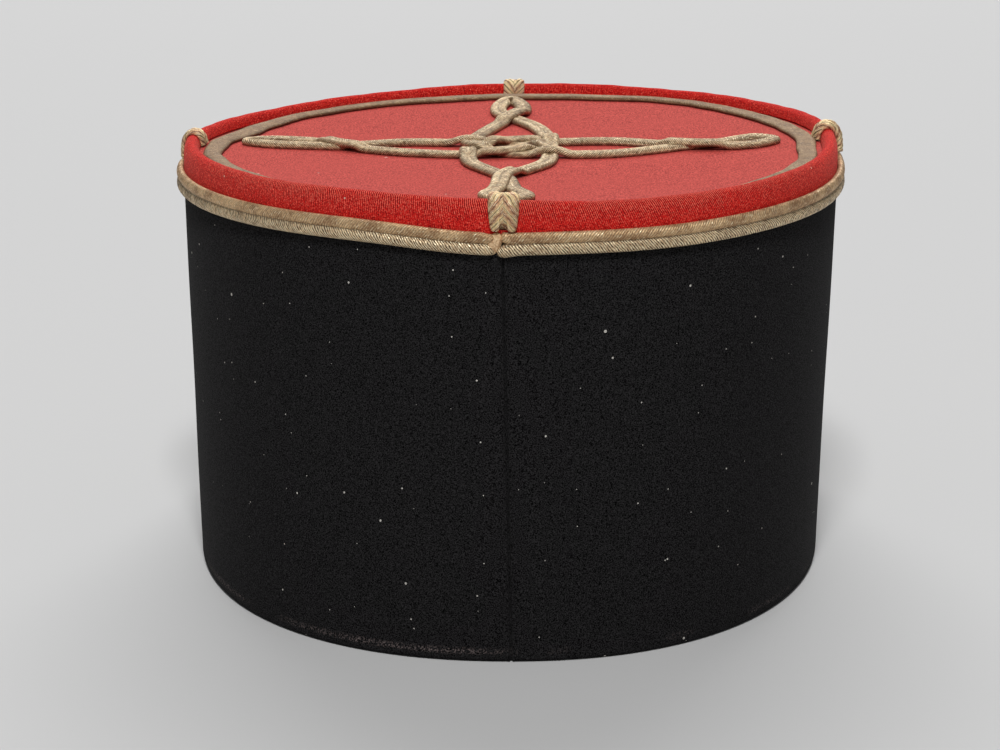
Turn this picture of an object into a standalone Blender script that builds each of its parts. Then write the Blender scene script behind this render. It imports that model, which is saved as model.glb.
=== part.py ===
"""Kepi with a black cloth wall, a red upper band, a sunk red top, gilt soutache and a leather peak.

Lengths are metres. +Z is up, the peak points along -Y and the back seam faces +Y.
Plan shapes are superellipses about the hat's own upright axis. A place on the crown is given by its
angle in plan (0 at +X, 90 degrees at the back), its share of the way up the wall, how far it stands out
from the wall and how high it lies above the wall's top line.
"""
import math

import bmesh
import bpy
import numpy as np
from mathutils import Vector

OBJECT_NAME = "kepi"

# Cloth wall: outside lengths from the hat's axis, at the floor and at the top line
BASE_HALF_WIDTH = 0.0826
BASE_REAR = 0.0945
BASE_FRONT = 0.1060
TOP_HALF_WIDTH = 0.0855
TOP_REAR = 0.0929
TOP_FRONT = 0.0844
WALL_HEIGHT_REAR = 0.1061
WALL_HEIGHT_FRONT = 0.0931
SIDE_LEAN = 0.0012
LINE_SAG = 0.0017
LINE_SAG_SIDE = -0.033
LINE_SAG_REACH = 0.040
WALL_THICKNESS = 0.0024
WALL_LAP = 0.0030
SEAM_WIDTH = 0.0016
SEAM_DEPTH = 0.0005

# Red band with its rolled edge, and the sunk top inside it
RIM_HEIGHT = 0.0122
RIM_ROLL = 0.0042
TOP_SINK = 0.0032
TOP_DISH = 0.0012
TOP_THICKNESS = 0.0020
TOP_CLEARANCE = 0.0005
TOP_RINGS = (1.00, 0.78, 0.45)

# Soutache braids
BAND_HEIGHT = 0.0057
BAND_STAND = 0.0022
BAND_DIP = 0.0010
BAND_DIP_REACH = 0.025
BAND_END_ROUND = 0.0022
BAND_END_STEPS = (0.00, 0.30, 1.00)
BAND_END_MARGIN = 0.02
END_LEAST_SCALE = 0.45
SOUTACHE_WIDTH = 0.0046
SOUTACHE_THICKNESS = 0.0012
UPRIGHT_END_ROUND = 0.0016
KNOT_HALF_WIDTH = 0.0106
KNOT_HALF_DEPTH = 0.0085
KNOT_REARWARD = 0.0043

# Peak, false chin strap and its two buttons
PEAK_REACH = 0.042
PEAK_HALF_SPAN = math.radians(55)
PEAK_SEAM_HEIGHT = 0.0070
PEAK_SIDE_RISE = 0.0040
PEAK_DROP = 0.0030
PEAK_DROP_POWER = 1.4
PEAK_SIDE_FALL = 2.1
PEAK_SIDE_ROUND = 0.62
PEAK_THICKNESS = 0.0024
PEAK_CLEARANCE = 0.0007
PEAK_COLUMNS = 27
PEAK_ROWS = 6
STRAP_WIDTH = 0.0090
STRAP_THICKNESS = 0.0014
STRAP_HEIGHT = 0.0150
STRAP_SIDE_RISE = 0.0060
STRAP_HALF_SPAN = math.radians(72)
STRAP_CLEARANCE = 0.0004
STRAP_TAPER = 14
STRAP_END_SHARE = 0.35
STRAP_COLUMNS = 33
BUTTON_HALF_SPAN = math.radians(66)
BUTTON_RADIUS = 0.0065
BUTTON_HEIGHT = 0.0040

GAP = 0.0003
SAMPLES_ROUND = 80
REAR = math.pi / 2
FRONT = 3 * math.pi / 2

# Roundness of each quarter of the plan: 2 is an ellipse and more is squarer
QUARTERS = ("rear_left", "rear_right", "front_right", "front_left")
BASE_ROUNDNESS = dict(rear_left=2.18, rear_right=2.15, front_right=2.2, front_left=2.2)
TOP_ROUNDNESS = dict(rear_left=1.93, rear_right=2.37, front_right=2.0, front_left=1.7)

# Outside of the red band: inset as a share of the roll, height as a share of the band above its lower edge
RIM_OUTLINE = (
    dict(inset=0.00, height=0.00),
    dict(inset=0.01, height=0.33),
    dict(inset=0.02, height=0.56),
    dict(inset=0.10, height=0.83),
    dict(inset=0.26, height=0.96),
    dict(inset=0.50, height=1.00),
    dict(inset=0.74, height=0.96),
    dict(inset=0.90, height=0.85),
)

# Section of the wide braid: two cords, one above the other
BAND_SECTION = (
    dict(out=0.00, up=0.03),
    dict(out=0.55, up=0.00),
    dict(out=1.00, up=0.15),
    dict(out=0.95, up=0.36),
    dict(out=0.68, up=0.50),
    dict(out=0.95, up=0.64),
    dict(out=1.00, up=0.85),
    dict(out=0.55, up=1.00),
    dict(out=0.00, up=0.97),
)

# Section of the flat soutache: two cords side by side
SOUTACHE_SECTION = (
    dict(across=-0.50, up=0.00),
    dict(across=-0.46, up=0.62),
    dict(across=-0.25, up=1.00),
    dict(across=0.00, up=0.76),
    dict(across=0.25, up=1.00),
    dict(across=0.46, up=0.62),
    dict(across=0.50, up=0.00),
)

# Braid on the top, by degrees round the crown: how far its outer edge drifts in from the band and how
# wide it is, both in braid widths
RING_COURSE = (
    dict(degrees=0, drift=0.15, width=1.35),
    dict(degrees=12, drift=0.05, width=1.10),
    dict(degrees=76, drift=0.00, width=1.00),
    dict(degrees=84, drift=0.58, width=1.00),
    dict(degrees=96, drift=0.58, width=1.00),
    dict(degrees=104, drift=0.00, width=1.00),
    dict(degrees=162, drift=0.00, width=1.00),
    dict(degrees=174, drift=0.15, width=1.35),
    dict(degrees=200, drift=0.10, width=1.45),
    dict(degrees=218, drift=0.05, width=1.45),
    dict(degrees=235, drift=0.00, width=1.10),
    dict(degrees=264, drift=0.50, width=1.00),
    dict(degrees=276, drift=0.50, width=1.00),
    dict(degrees=300, drift=0.00, width=1.00),
    dict(degrees=320, drift=0.00, width=1.15),
    dict(degrees=341, drift=0.15, width=1.70),
)

# Upright braids: where each stands, its width in shares of the flat soutache's and how thick it is
UPRIGHTS = (
    dict(name="rear_braid", degrees=90.0, width=1.62, thickness=0.0020),
    dict(name="front_braid", degrees=270.35, width=1.28, thickness=0.0013),
    dict(name="left_braid", degrees=-3.2, width=1.30, thickness=0.0020),
    dict(name="right_braid", degrees=182.0, width=1.30, thickness=0.0020),
)

# Knot on the top, a row for each arm. "at" values are shares of the way out to the braid round the top.
# "side" values are in braid widths, anticlockwise, first for the strand that runs out and then for the
# one that comes back.
KNOT_ARMS = (
    dict(arm="front", out=(0, -1), mouth_at=0.351, mouth_side=(-1.50, 1.20), eye_at=0.569, eye_side=0.05,
         near_at=0.664, near_side=(0.75, -0.52), far_at=0.807, far_side=(0.84, -0.52),
         tip_at=0.924, tip_side=0.20),
    dict(arm="right", out=(-1, 0), mouth_at=0.354, mouth_side=(-2.75, 0.90), eye_at=0.603, eye_side=-1.00,
         near_at=0.728, near_side=(-0.20, -1.40), far_at=0.843, far_side=(0.95, -1.05),
         tip_at=0.900, tip_side=0.05),
    dict(arm="rear", out=(0, 1), mouth_at=0.297, mouth_side=(-2.05, 2.05), eye_at=0.549, eye_side=-0.10,
         near_at=0.677, near_side=(0.80, -0.70), far_at=0.861, far_side=(1.10, -0.95),
         tip_at=0.928, tip_side=0.00),
    dict(arm="left", out=(1, 0), mouth_at=0.354, mouth_side=(-1.15, 2.10), eye_at=0.583, eye_side=0.25,
         near_at=0.666, near_side=(0.20, -1.10), far_at=0.832, far_side=(-0.20, -1.60),
         tip_at=0.900, tip_side=-1.00),
)
# Places of the strand that joins one arm to the next, in half sizes of the knot's middle
KNOT_MIDDLE = (
    dict(out=0.35, side=0.98),
    dict(out=-0.45, side=0.52),
    dict(out=-0.97, side=-0.30),
)
KNOT_FIRST = "rear"
KNOT_FINE_SAMPLES = 1800
KNOT_LIFT_RAMP = 0.55
KNOT_LIFT_REACH = 4.8
KNOT_LIFT_ROUNDS = 4
KNOT_LIFT_SHARE = 0.36
KNOT_PINCH = 0.80
KNOT_PINCH_REACH = 0.60
KNOT_STRAIGHT_STEP = 1.20
KNOT_BEND_STEP = 0.60
KNOT_CLIMB_STEP = 0.28

# Turned button: radius and height shares, from the top of the dome down its outer side
BUTTON_PROFILE = (
    dict(radius=0.00, height=1.00),
    dict(radius=0.36, height=0.94),
    dict(radius=0.68, height=0.76),
    dict(radius=0.90, height=0.48),
    dict(radius=1.00, height=0.24),
    dict(radius=0.96, height=0.08),
    dict(radius=0.84, height=0.00),
    dict(radius=0.00, height=0.00),
)
BUTTON_SIDES = 20

MATERIALS = (
    dict(name="black_cloth", colour=(0.010, 0.010, 0.012), roughness=0.95, metallic=0.0),
    dict(name="red_cloth", colour=(0.42, 0.018, 0.018), roughness=0.90, metallic=0.0),
    dict(name="faded_red_cloth", colour=(0.55, 0.085, 0.070), roughness=0.95, metallic=0.0),
    dict(name="gilt_soutache", colour=(0.40, 0.31, 0.19), roughness=0.55, metallic=0.25),
    dict(name="black_leather", colour=(0.012, 0.011, 0.010), roughness=0.30, metallic=0.0),
    dict(name="brass", colour=(0.62, 0.43, 0.18), roughness=0.35, metallic=1.0),
)


def column(rows, key):
    """One named column of a table as an array."""
    return np.array([row[key] for row in rows], dtype=float)


def quarter_values(cosine, sine, by_quarter):
    """The value that belongs to each point's quarter of the plan."""
    rear = np.where(cosine >= 0, by_quarter["rear_left"], by_quarter["rear_right"])
    front = np.where(cosine < 0, by_quarter["front_right"], by_quarter["front_left"])
    return np.where(sine >= 0, rear, front)


def plan(angles, half_width, rear, front, roundness):
    """Superellipse: x is half_width * cos^(2/n) and y is length * sin^(2/n), signs kept."""
    cosine = np.cos(angles)
    sine = np.sin(angles)
    power = 2 / quarter_values(cosine, sine, roundness)
    length = np.where(sine >= 0, rear, front)
    x = half_width * np.sign(cosine) * np.abs(cosine) ** power
    y = length * np.sign(sine) * np.abs(sine) ** power
    return x, y


def bell(distance, reach):
    """Bell shape: 1 in the middle and near 0 past twice the reach."""
    return np.exp(-((distance / reach) ** 2))


def wall_line(x, y):
    """Height of the wall's top line: a leaning plane that rises to the back, with a sag right of the seam."""
    along = (y + TOP_FRONT) / (TOP_REAR + TOP_FRONT)
    rise = WALL_HEIGHT_REAR - WALL_HEIGHT_FRONT
    sag = LINE_SAG * bell(x - LINE_SAG_SIDE, LINE_SAG_REACH) * np.clip(y / TOP_REAR, 0, 1)
    return WALL_HEIGHT_FRONT + rise * along - SIDE_LEAN * x / TOP_HALF_WIDTH - sag


def crown_points(angles, share=1.0, out=0.0, above=0.0):
    """Points round the crown, share of the way up the wall, out from it and above that height."""
    angles, share, out, above = np.broadcast_arrays(angles, share, out, above)
    roundness = {q: BASE_ROUNDNESS[q] + (TOP_ROUNDNESS[q] - BASE_ROUNDNESS[q]) * share for q in QUARTERS}
    half_width = BASE_HALF_WIDTH + (TOP_HALF_WIDTH - BASE_HALF_WIDTH) * share + out
    rear = BASE_REAR + (TOP_REAR - BASE_REAR) * share + out
    front = BASE_FRONT + (TOP_FRONT - BASE_FRONT) * share + out
    x, y = plan(angles, half_width, rear, front, roundness)
    return np.stack([x, y, share * wall_line(x, y) + above], axis=-1)


def angle_beside_seam(distance, side):
    """Angle at the back of the top where x is the given distance to one side (+1 is +X)."""
    power = TOP_ROUNDNESS["rear_left" if side > 0 else "rear_right"] / 2
    lean = math.asin((distance / TOP_HALF_WIDTH) ** power)
    return REAR - side * lean


def crown_angles():
    """Even angles round the crown, with one more on each side of the back seam."""
    even = np.arange(SAMPLES_ROUND) * 2 * math.pi / SAMPLES_ROUND
    beside = [angle_beside_seam(SEAM_WIDTH / 2, side) for side in (1, -1)]
    return np.sort(np.append(even, beside))


def disc_height(x, y):
    """Height of the sunk top: below the roll's crest, with a shallow dish in the middle."""
    margin = ring_inset() + SOUTACHE_WIDTH / 2
    middle = (TOP_REAR - TOP_FRONT) / 2
    depth = (TOP_REAR + TOP_FRONT) / 2 - margin
    away = (x / (TOP_HALF_WIDTH - margin)) ** 2 + ((y - middle) / depth) ** 2
    return wall_line(x, y) + RIM_HEIGHT - TOP_SINK - TOP_DISH * (1 - np.clip(away, 0, 1))


def ring_inset():
    """Inset of the middle of the braid round the top, where it lies against the band."""
    return RIM_ROLL + GAP + SOUTACHE_WIDTH / 2


def band_dip(points):
    """How far the wide braid and what stands on it sag beside the back seam."""
    return BAND_DIP * bell(points[..., 0], BAND_DIP_REACH) * (points[..., 1] > 0)


def rim_outline():
    """Inset and height above the wall's top line of the band's outside, up over the roll and in."""
    start = WALL_LAP + GAP
    inset = column(RIM_OUTLINE, "inset") * RIM_ROLL
    height = start + column(RIM_OUTLINE, "height") * (RIM_HEIGHT - start)
    lip = RIM_HEIGHT - TOP_SINK + GAP
    return np.column_stack([np.append(inset, RIM_ROLL), np.append(height, lip)])


def make_material(row):
    material = bpy.data.materials.new(row["name"])
    material.use_nodes = True
    shader = material.node_tree.nodes["Principled BSDF"]
    shader.inputs["Base Color"].default_value = (*row["colour"], 1.0)
    shader.inputs["Roughness"].default_value = row["roughness"]
    shader.inputs["Metallic"].default_value = row["metallic"]
    material.diffuse_color = (*row["colour"], 1.0)
    return material


def add_part(name, mesh, material, smooth_angle=40):
    """Object for one sub-part, shaded smooth up to the given angle in degrees."""
    mesh.materials.append(bpy.data.materials[material])
    mesh.shade_smooth()
    mesh.set_sharp_from_angle(angle=math.radians(smooth_angle))
    part = bpy.data.objects.new(name, mesh)
    part.parent = bpy.data.objects[OBJECT_NAME + "_axis"]
    bpy.data.collections[OBJECT_NAME].objects.link(part)
    return part


def grid_mesh(name, grid, wrap_rows=False, wrap_columns=False, cap_ends=False):
    """Mesh over a grid of points of shape (rows, columns, 3), with quads between neighbours."""
    rows, columns = grid.shape[:2]
    index = np.arange(rows * columns).reshape(rows, columns)
    if wrap_rows:
        index = np.vstack([index, index[:1]])
    if wrap_columns:
        index = np.hstack([index, index[:, :1]])
    quads = np.stack([index[:-1, :-1], index[:-1, 1:], index[1:, 1:], index[1:, :-1]], axis=-1)
    faces = quads.reshape(-1, 4).tolist()
    if cap_ends:
        faces.append(index[0, :columns].tolist())
        faces.append(index[-1, :columns].tolist())
    mesh = bpy.data.meshes.new(name)
    mesh.from_pydata(grid.reshape(-1, 3).tolist(), [], faces)
    closed = (wrap_rows or cap_ends) and wrap_columns
    if closed:
        shell = bmesh.new()
        shell.from_mesh(mesh)
        bmesh.ops.recalc_face_normals(shell, faces=shell.faces)
        shell.to_mesh(mesh)
        shell.free()
    return mesh


def face_sheet(mesh, pull):
    """Turn an open sheet so that its faces look the way that pull, a function of a face, says is positive."""
    sheet = bmesh.new()
    sheet.from_mesh(mesh)
    bmesh.ops.recalc_face_normals(sheet, faces=sheet.faces)
    if sum(pull(face) for face in sheet.faces) < 0:
        bmesh.ops.reverse_faces(sheet, faces=sheet.faces)
    sheet.to_mesh(mesh)
    sheet.free()


def upward(face):
    return face.normal.z


def outward_from_axis(face):
    return face.normal.dot(face.calc_center_median())


def add_solidify(part, thickness, offset):
    wall = part.modifiers.new("thickness", "SOLIDIFY")
    wall.thickness = thickness
    wall.offset = offset
    wall.use_even_offset = True


def make_crown_wall():
    """Loft from the base plan to the top plan and back down the inside, open below."""
    angles = crown_angles()
    seam = np.isclose(angles, REAR) * SEAM_DEPTH
    rings = [crown_points(angles, share, -seam) for share in (0.0, 0.5, 1.0)]
    rings.append(crown_points(angles, 1.0, -seam, WALL_LAP))
    rings.append(crown_points(angles, 1.0, -WALL_THICKNESS, WALL_LAP))
    rings += [crown_points(angles, share, -WALL_THICKNESS) for share in (1.0, 0.5, 0.0)]
    mesh = grid_mesh("crown_wall", np.array(rings), wrap_rows=True, wrap_columns=True)
    add_part("crown_wall", mesh, "black_cloth")


def make_crown_rim():
    """Red band as a closed section carried round the crown: wall, roll, and a lip over the sunk top."""
    outline = rim_outline()
    lip = outline[-1, 1]
    inside = [(WALL_THICKNESS, lip), (WALL_THICKNESS, outline[0, 1])]
    section = np.vstack([outline, inside])
    rings = [crown_points(crown_angles(), 1.0, -inset, height) for inset, height in section]
    mesh = grid_mesh("crown_rim", np.array(rings), wrap_rows=True, wrap_columns=True)
    add_part("crown_rim", mesh, "red_cloth")


def make_crown_top():
    """Sunk top: rings that shrink to the middle on the dished height, then given their thickness."""
    edge = crown_points(crown_angles(), 1.0, -(WALL_THICKNESS + TOP_CLEARANCE))
    middle = np.array([0.0, (TOP_REAR - TOP_FRONT) / 2])
    rings = []
    for share in TOP_RINGS:
        x, y = (middle + (edge[:, :2] - middle) * share).T
        rings.append(np.column_stack([x, y, disc_height(x, y)]))
    mesh = grid_mesh("crown_top", np.array(rings), wrap_columns=True)
    disc = bmesh.new()
    disc.from_mesh(mesh)
    disc.verts.ensure_lookup_table()
    inner = list(disc.verts)[-edge.shape[0]:]
    centre = disc.verts.new((*middle, disc_height(*middle)))
    for here, after in zip(inner, inner[1:] + inner[:1]):
        disc.faces.new((here, after, centre))
    disc.to_mesh(mesh)
    disc.free()
    face_sheet(mesh, upward)
    part = add_part("crown_top", mesh, "faded_red_cloth")
    add_solidify(part, TOP_THICKNESS, -1)


def end_scale(distance, reach):
    """Size of a section near a rounded end: a quarter circle of the given reach, never quite closed."""
    closeness = np.clip(1 - distance / reach, 0, 1)
    return np.maximum(np.sqrt(1 - closeness ** 2), END_LEAST_SCALE)


def make_band_braid():
    """Two-cord braid carried round the crown from one side of the back seam to the other."""
    steps = GAP + BAND_END_ROUND * np.array(BAND_END_STEPS)
    right = [angle_beside_seam(step, -1) for step in steps]
    left = [angle_beside_seam(step, 1) + 2 * math.pi for step in steps[::-1]]
    even = crown_angles()
    even = np.where(even < right[-1] + BAND_END_MARGIN, even + 2 * math.pi, even)
    even = np.sort(even[even < left[0] - BAND_END_MARGIN])
    angles = np.concatenate([right, even, left])
    scale = np.ones(len(angles))
    scale[:len(steps)] = end_scale(steps - steps[0], BAND_END_ROUND)
    scale[-len(steps):] = scale[:len(steps)][::-1]
    across = column(BAND_SECTION, "out")
    up = 0.5 + (column(BAND_SECTION, "up") - 0.5) * scale[:, None]
    out = GAP + across * scale[:, None] * BAND_STAND
    grid = crown_points(angles[:, None], 1.0, out, up * BAND_HEIGHT)
    grid[..., 2] -= band_dip(grid)
    mesh = grid_mesh("band_braid", grid, wrap_columns=True, cap_ends=True)
    add_part("band_braid", mesh, "gilt_soutache")


def ring_course(angles, key):
    """One column of the course table round the crown in metres, eased from each row to the next."""
    degrees = np.append(column(RING_COURSE, "degrees"), 360)
    values = np.append(column(RING_COURSE, key), RING_COURSE[0][key])
    turned = np.degrees(angles) % 360
    row = np.clip(np.searchsorted(degrees, turned, side="right") - 1, 0, len(degrees) - 2)
    part = (turned - degrees[row]) / (degrees[row + 1] - degrees[row])
    eased = part * part * (3 - 2 * part)
    return (values[row] + (values[row + 1] - values[row]) * eased) * SOUTACHE_WIDTH


def on_disc(x, y, above):
    """Points that lie the given height above the sunk top, clear of it."""
    return np.stack([x, y, disc_height(x, y) + GAP + above], axis=-1)


def make_ring_braid():
    """Flat soutache laid round the top, close inside the band."""
    angles = crown_angles()[:, None]
    wide = ring_course(angles, "width")
    across = (column(SOUTACHE_SECTION, "across") + 0.5) * wide
    inset = RIM_ROLL + GAP + ring_course(angles, "drift") + across
    points = crown_points(angles, 1.0, -inset)
    up = np.broadcast_to(column(SOUTACHE_SECTION, "up") * SOUTACHE_THICKNESS, inset.shape)
    grid = on_disc(points[..., 0], points[..., 1], up)
    mesh = grid_mesh("ring_braid", grid, wrap_rows=True, wrap_columns=True)
    add_part("ring_braid", mesh, "gilt_soutache")


def upright_route(dip):
    """Route of an upright braid's back and its outward directions, in inset and height.

    It is the band's outside between the wide braid and the sunk top, moved out by the gap."""
    outline = rim_outline()
    start = BAND_HEIGHT + GAP - dip
    inset_there = np.interp(start, outline[:3, 1], outline[:3, 0])
    route = np.vstack([[inset_there, start], outline[outline[:, 1] > start + GAP / 2]])
    if route[-1, 1] > outline[-1, 1]:
        route = np.vstack([route, outline[-1]])
    along = np.gradient(route, axis=0)
    along /= np.linalg.norm(along, axis=1)[:, None]
    outward = np.column_stack([-along[:, 1], along[:, 0]])
    return route + outward * GAP, outward


def make_upright_braid(row):
    """Two-cord braid that climbs the red band and bends over the roll down to the sunk top."""
    angle = math.radians(row["degrees"])
    foot = crown_points(angle)
    ahead = crown_points(angle + 0.01)[:2] - crown_points(angle - 0.01)[:2]
    tangent = ahead / np.linalg.norm(ahead)
    outward = np.array([tangent[1], -tangent[0]])
    route, facing = upright_route(band_dip(foot) if row["name"] == "rear_braid" else 0.0)
    length = np.append(0, np.cumsum(np.linalg.norm(np.diff(route, axis=0), axis=1)))
    scale = end_scale(length, UPRIGHT_END_ROUND) * end_scale(length[-1] - length, UPRIGHT_END_ROUND)
    width = row["width"] * SOUTACHE_WIDTH
    across = column(SOUTACHE_SECTION, "across") * width * scale[:, None]
    thick = column(SOUTACHE_SECTION, "up") * row["thickness"] * scale[:, None]
    inset = route[:, :1] + facing[:, :1] * thick
    above = route[:, 1:] + facing[:, 1:] * thick
    x = foot[0] + tangent[0] * across - outward[0] * inset
    y = foot[1] + tangent[1] * across - outward[1] * inset
    grid = np.stack([x, y, wall_line(x, y) + above], axis=-1)
    mesh = grid_mesh(row["name"], grid, wrap_columns=True, cap_ends=True)
    add_part(row["name"], mesh, "gilt_soutache")


def knot_waypoints():
    """Places that the closed knot passes, arm by arm clockwise, from the tip of its first arm."""
    reach = dict(
        front=TOP_FRONT, right=TOP_HALF_WIDTH, rear=TOP_REAR, left=TOP_HALF_WIDTH,
    )
    half = np.array([KNOT_HALF_WIDTH, KNOT_HALF_DEPTH])
    middle = np.array([0.0, KNOT_REARWARD])
    places = []
    for row in KNOT_ARMS:
        out = np.array(row["out"], dtype=float)
        side = np.array([-out[1], out[0]])
        length = reach[row["arm"]] - ring_inset() - SOUTACHE_WIDTH / 2

        def place(at, aside):
            return out * at * length + side * aside * SOUTACHE_WIDTH

        eye = place(row["eye_at"], row["eye_side"])
        going = [
            middle + half * (out - side),
            place(row["mouth_at"], row["mouth_side"][0]),
            eye,
            place(row["near_at"], row["near_side"][0]),
            place(row["far_at"], row["far_side"][0]),
        ]
        coming = [
            place(row["far_at"], row["far_side"][1]),
            place(row["near_at"], row["near_side"][1]),
            eye,
            place(row["mouth_at"], row["mouth_side"][1]),
            middle + half * (out + side),
        ]
        if row["arm"] == KNOT_FIRST:
            first = len(places) + len(going)
        places += [*going, place(row["tip_at"], row["tip_side"]), *coming]
        places += [middle + half * (out * m["out"] + side * m["side"]) for m in KNOT_MIDDLE]
    return np.roll(np.array(places), -first, axis=0)


def smooth_closed_curve(places, samples):
    """Centripetal Catmull-Rom curve through the places, with even steps along its length."""
    before, here, after, beyond = (np.roll(places, shift, axis=0)[:, None] for shift in (1, 0, -1, -2))
    knots = [np.zeros((len(places), 1, 1))]
    for start, end in ((before, here), (here, after), (after, beyond)):
        knots.append(knots[-1] + np.linalg.norm(end - start, axis=2, keepdims=True) ** 0.5)
    k0, k1, k2, k3 = knots
    k = k1 + (k2 - k1) * np.linspace(0, 1, 40, endpoint=False)[None, :, None]
    a1 = ((k1 - k) * before + (k - k0) * here) / (k1 - k0)
    a2 = ((k2 - k) * here + (k - k1) * after) / (k2 - k1)
    a3 = ((k3 - k) * after + (k - k2) * beyond) / (k3 - k2)
    b1 = ((k2 - k) * a1 + (k - k0) * a2) / (k2 - k0)
    b2 = ((k3 - k) * a2 + (k - k1) * a3) / (k3 - k1)
    curve = (((k2 - k) * b1 + (k - k1) * b2) / (k2 - k1)).reshape(-1, 2)
    closed = np.vstack([curve, curve[:1]])
    along = np.append(0, np.cumsum(np.linalg.norm(np.diff(closed, axis=0), axis=1)))
    even = np.linspace(0, along[-1], samples, endpoint=False)
    points = np.column_stack([np.interp(even, along, closed[:, axis]) for axis in (0, 1)])
    return points, along[-1] / samples


def knot_crossings(points):
    """Pairs of places, in samples along the closed path, where it crosses itself."""
    step = np.roll(points, -1, axis=0) - points
    apart = points[None] - points[:, None]
    turn = step[:, None, 0] * step[None, :, 1] - step[:, None, 1] * step[None, :, 0]
    turn[turn == 0] = 1e-18
    first = (apart[..., 0] * step[None, :, 1] - apart[..., 1] * step[None, :, 0]) / turn
    second = (apart[..., 0] * step[:, None, 1] - apart[..., 1] * step[:, None, 0]) / turn
    inside = (first >= 0) & (first < 1) & (second >= 0) & (second < 1)
    i, j = np.nonzero(np.triu(inside, 2))
    keep = (j - i) < len(points) - 1
    return np.column_stack([i + first[i, j], j + second[i, j]])[keep]


def knot_lift(points, step):
    """Height of the braid above the top: at every second crossing it climbs over the other strand.

    The climb is the braid's thickness and the gap wherever the two strands' widths meet, with an
    eased ramp on each side."""
    count = len(points)
    tangent = np.roll(points, -1, axis=0) - np.roll(points, 1, axis=0)
    tangent /= np.linalg.norm(tangent, axis=1)[:, None]
    pairs = knot_crossings(points)
    order = {place: rank for rank, place in enumerate(np.sort(pairs.ravel()))}
    ramp = KNOT_LIFT_RAMP * SOUTACHE_WIDTH
    lift = np.zeros(count)
    for _ in range(KNOT_LIFT_ROUNDS):
        lower = lift
        lift = np.zeros(count)
        for pair in pairs:
            over, under = sorted(pair, key=lambda place: order[place] % 2)
            apart = min(abs(over - under), count - abs(over - under))
            reach = int(min(KNOT_LIFT_REACH * SOUTACHE_WIDTH / step, KNOT_LIFT_SHARE * apart))
            window = np.arange(-reach, reach + 1)
            above = (window + int(over)) % count
            below = (window + int(under)) % count
            distances = np.linalg.norm(points[above][:, None] - points[below][None], axis=2)
            alignment = np.abs(tangent[above] @ tangent[below].T)
            meets = distances < SOUTACHE_WIDTH / 2 * (1 + alignment) + 2 * GAP
            needed = np.where(meets, lower[below][None] + SOUTACHE_THICKNESS + GAP, 0).max(axis=1)
            away = np.abs(window[:, None] - window[None]) * step
            climb = 0.5 + 0.5 * np.cos(np.pi * np.clip(away / ramp, 0, 1))
            lift[above] = np.maximum(lift[above], (climb * needed[None]).max(axis=1))
    return lift, tangent


def knot_sections(points, lift, tangent, step):
    """Samples to keep: more of them where the path bends or climbs."""
    heading = np.unwrap(np.arctan2(tangent[:, 1], tangent[:, 0]))
    bend = (np.roll(heading, -1) - np.roll(heading, 1) + np.pi) % (2 * np.pi) - np.pi
    bend /= 2 * step
    climb = np.abs(np.roll(lift, -1) - np.roll(lift, 1)) / (2 * step)
    density = 1 / (KNOT_STRAIGHT_STEP * SOUTACHE_WIDTH)
    density = density + np.abs(bend) / KNOT_BEND_STEP
    density = density + climb / (KNOT_CLIMB_STEP * SOUTACHE_WIDTH)
    passed = np.cumsum(density) * step
    kept = np.searchsorted(passed, np.arange(0, passed[-1], 1.0))
    return np.unique(np.clip(kept, 0, len(points) - 1)), bend


def make_knot_braid():
    """Flat soutache carried along the closed knot, narrowed on the inside of tight bends."""
    points, step = smooth_closed_curve(knot_waypoints(), KNOT_FINE_SAMPLES)
    lift, tangent = knot_lift(points, step)
    kept, bend = knot_sections(points, lift, tangent, step)
    side = np.column_stack([-tangent[:, 1], tangent[:, 0]])
    radius = 1 / np.maximum(np.abs(bend), 1e-9)
    near = int(KNOT_PINCH_REACH * SOUTACHE_WIDTH / step)
    shifted = [np.roll(radius, shift) for shift in range(-near, near + 1)]
    tightest = np.min(shifted, axis=0)
    blur = np.hanning(2 * near + 1)
    blur /= blur.sum()
    strips = []
    for row in SOUTACHE_SECTION:
        wide = row["across"] * SOUTACHE_WIDTH
        pinched = 2 * row["across"] * KNOT_PINCH * tightest
        inner = np.sign(wide) == np.sign(bend)
        offset = np.where(inner & (abs(wide) > np.abs(pinched)), pinched, wide)
        offset = np.convolve(np.concatenate([offset[-near:], offset, offset[:near]]), blur, mode="valid")
        x, y = (points + side * offset[:, None])[kept].T
        strips.append(on_disc(x, y, lift[kept] + row["up"] * SOUTACHE_THICKNESS))
    grid = np.stack(strips, axis=1)
    mesh = grid_mesh("knot_braid", grid, wrap_rows=True, wrap_columns=True)
    add_part("knot_braid", mesh, "gilt_soutache")


def wall_share(angles, height):
    """Share of the way up the wall at which it stands the given height above the floor."""
    share = height / WALL_HEIGHT_FRONT
    for _ in range(3):
        share = share * height / crown_points(angles, share)[..., 2]
    return share


def make_peak():
    """Crescent of leather that starts on the wall, reaches forward and droops a little."""
    across = np.linspace(-1, 1, PEAK_COLUMNS)[None, :]
    outward = np.linspace(0, 1, PEAK_ROWS)[:, None]
    angles = FRONT + across * PEAK_HALF_SPAN
    reach = PEAK_REACH * (1 - np.abs(across) ** PEAK_SIDE_FALL) ** PEAK_SIDE_ROUND + 2 * PEAK_THICKNESS
    seam = PEAK_SEAM_HEIGHT + PEAK_SIDE_RISE * across ** 2
    share = wall_share(angles, seam - PEAK_THICKNESS)
    grid = crown_points(angles, share, PEAK_CLEARANCE + outward * reach)
    drop = PEAK_DROP * (outward * reach / PEAK_REACH) ** PEAK_DROP_POWER
    grid[..., 2] = seam - drop
    mesh = grid_mesh("peak", grid)
    face_sheet(mesh, upward)
    part = add_part("peak", mesh, "black_leather")
    add_solidify(part, PEAK_THICKNESS, -1)


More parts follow.
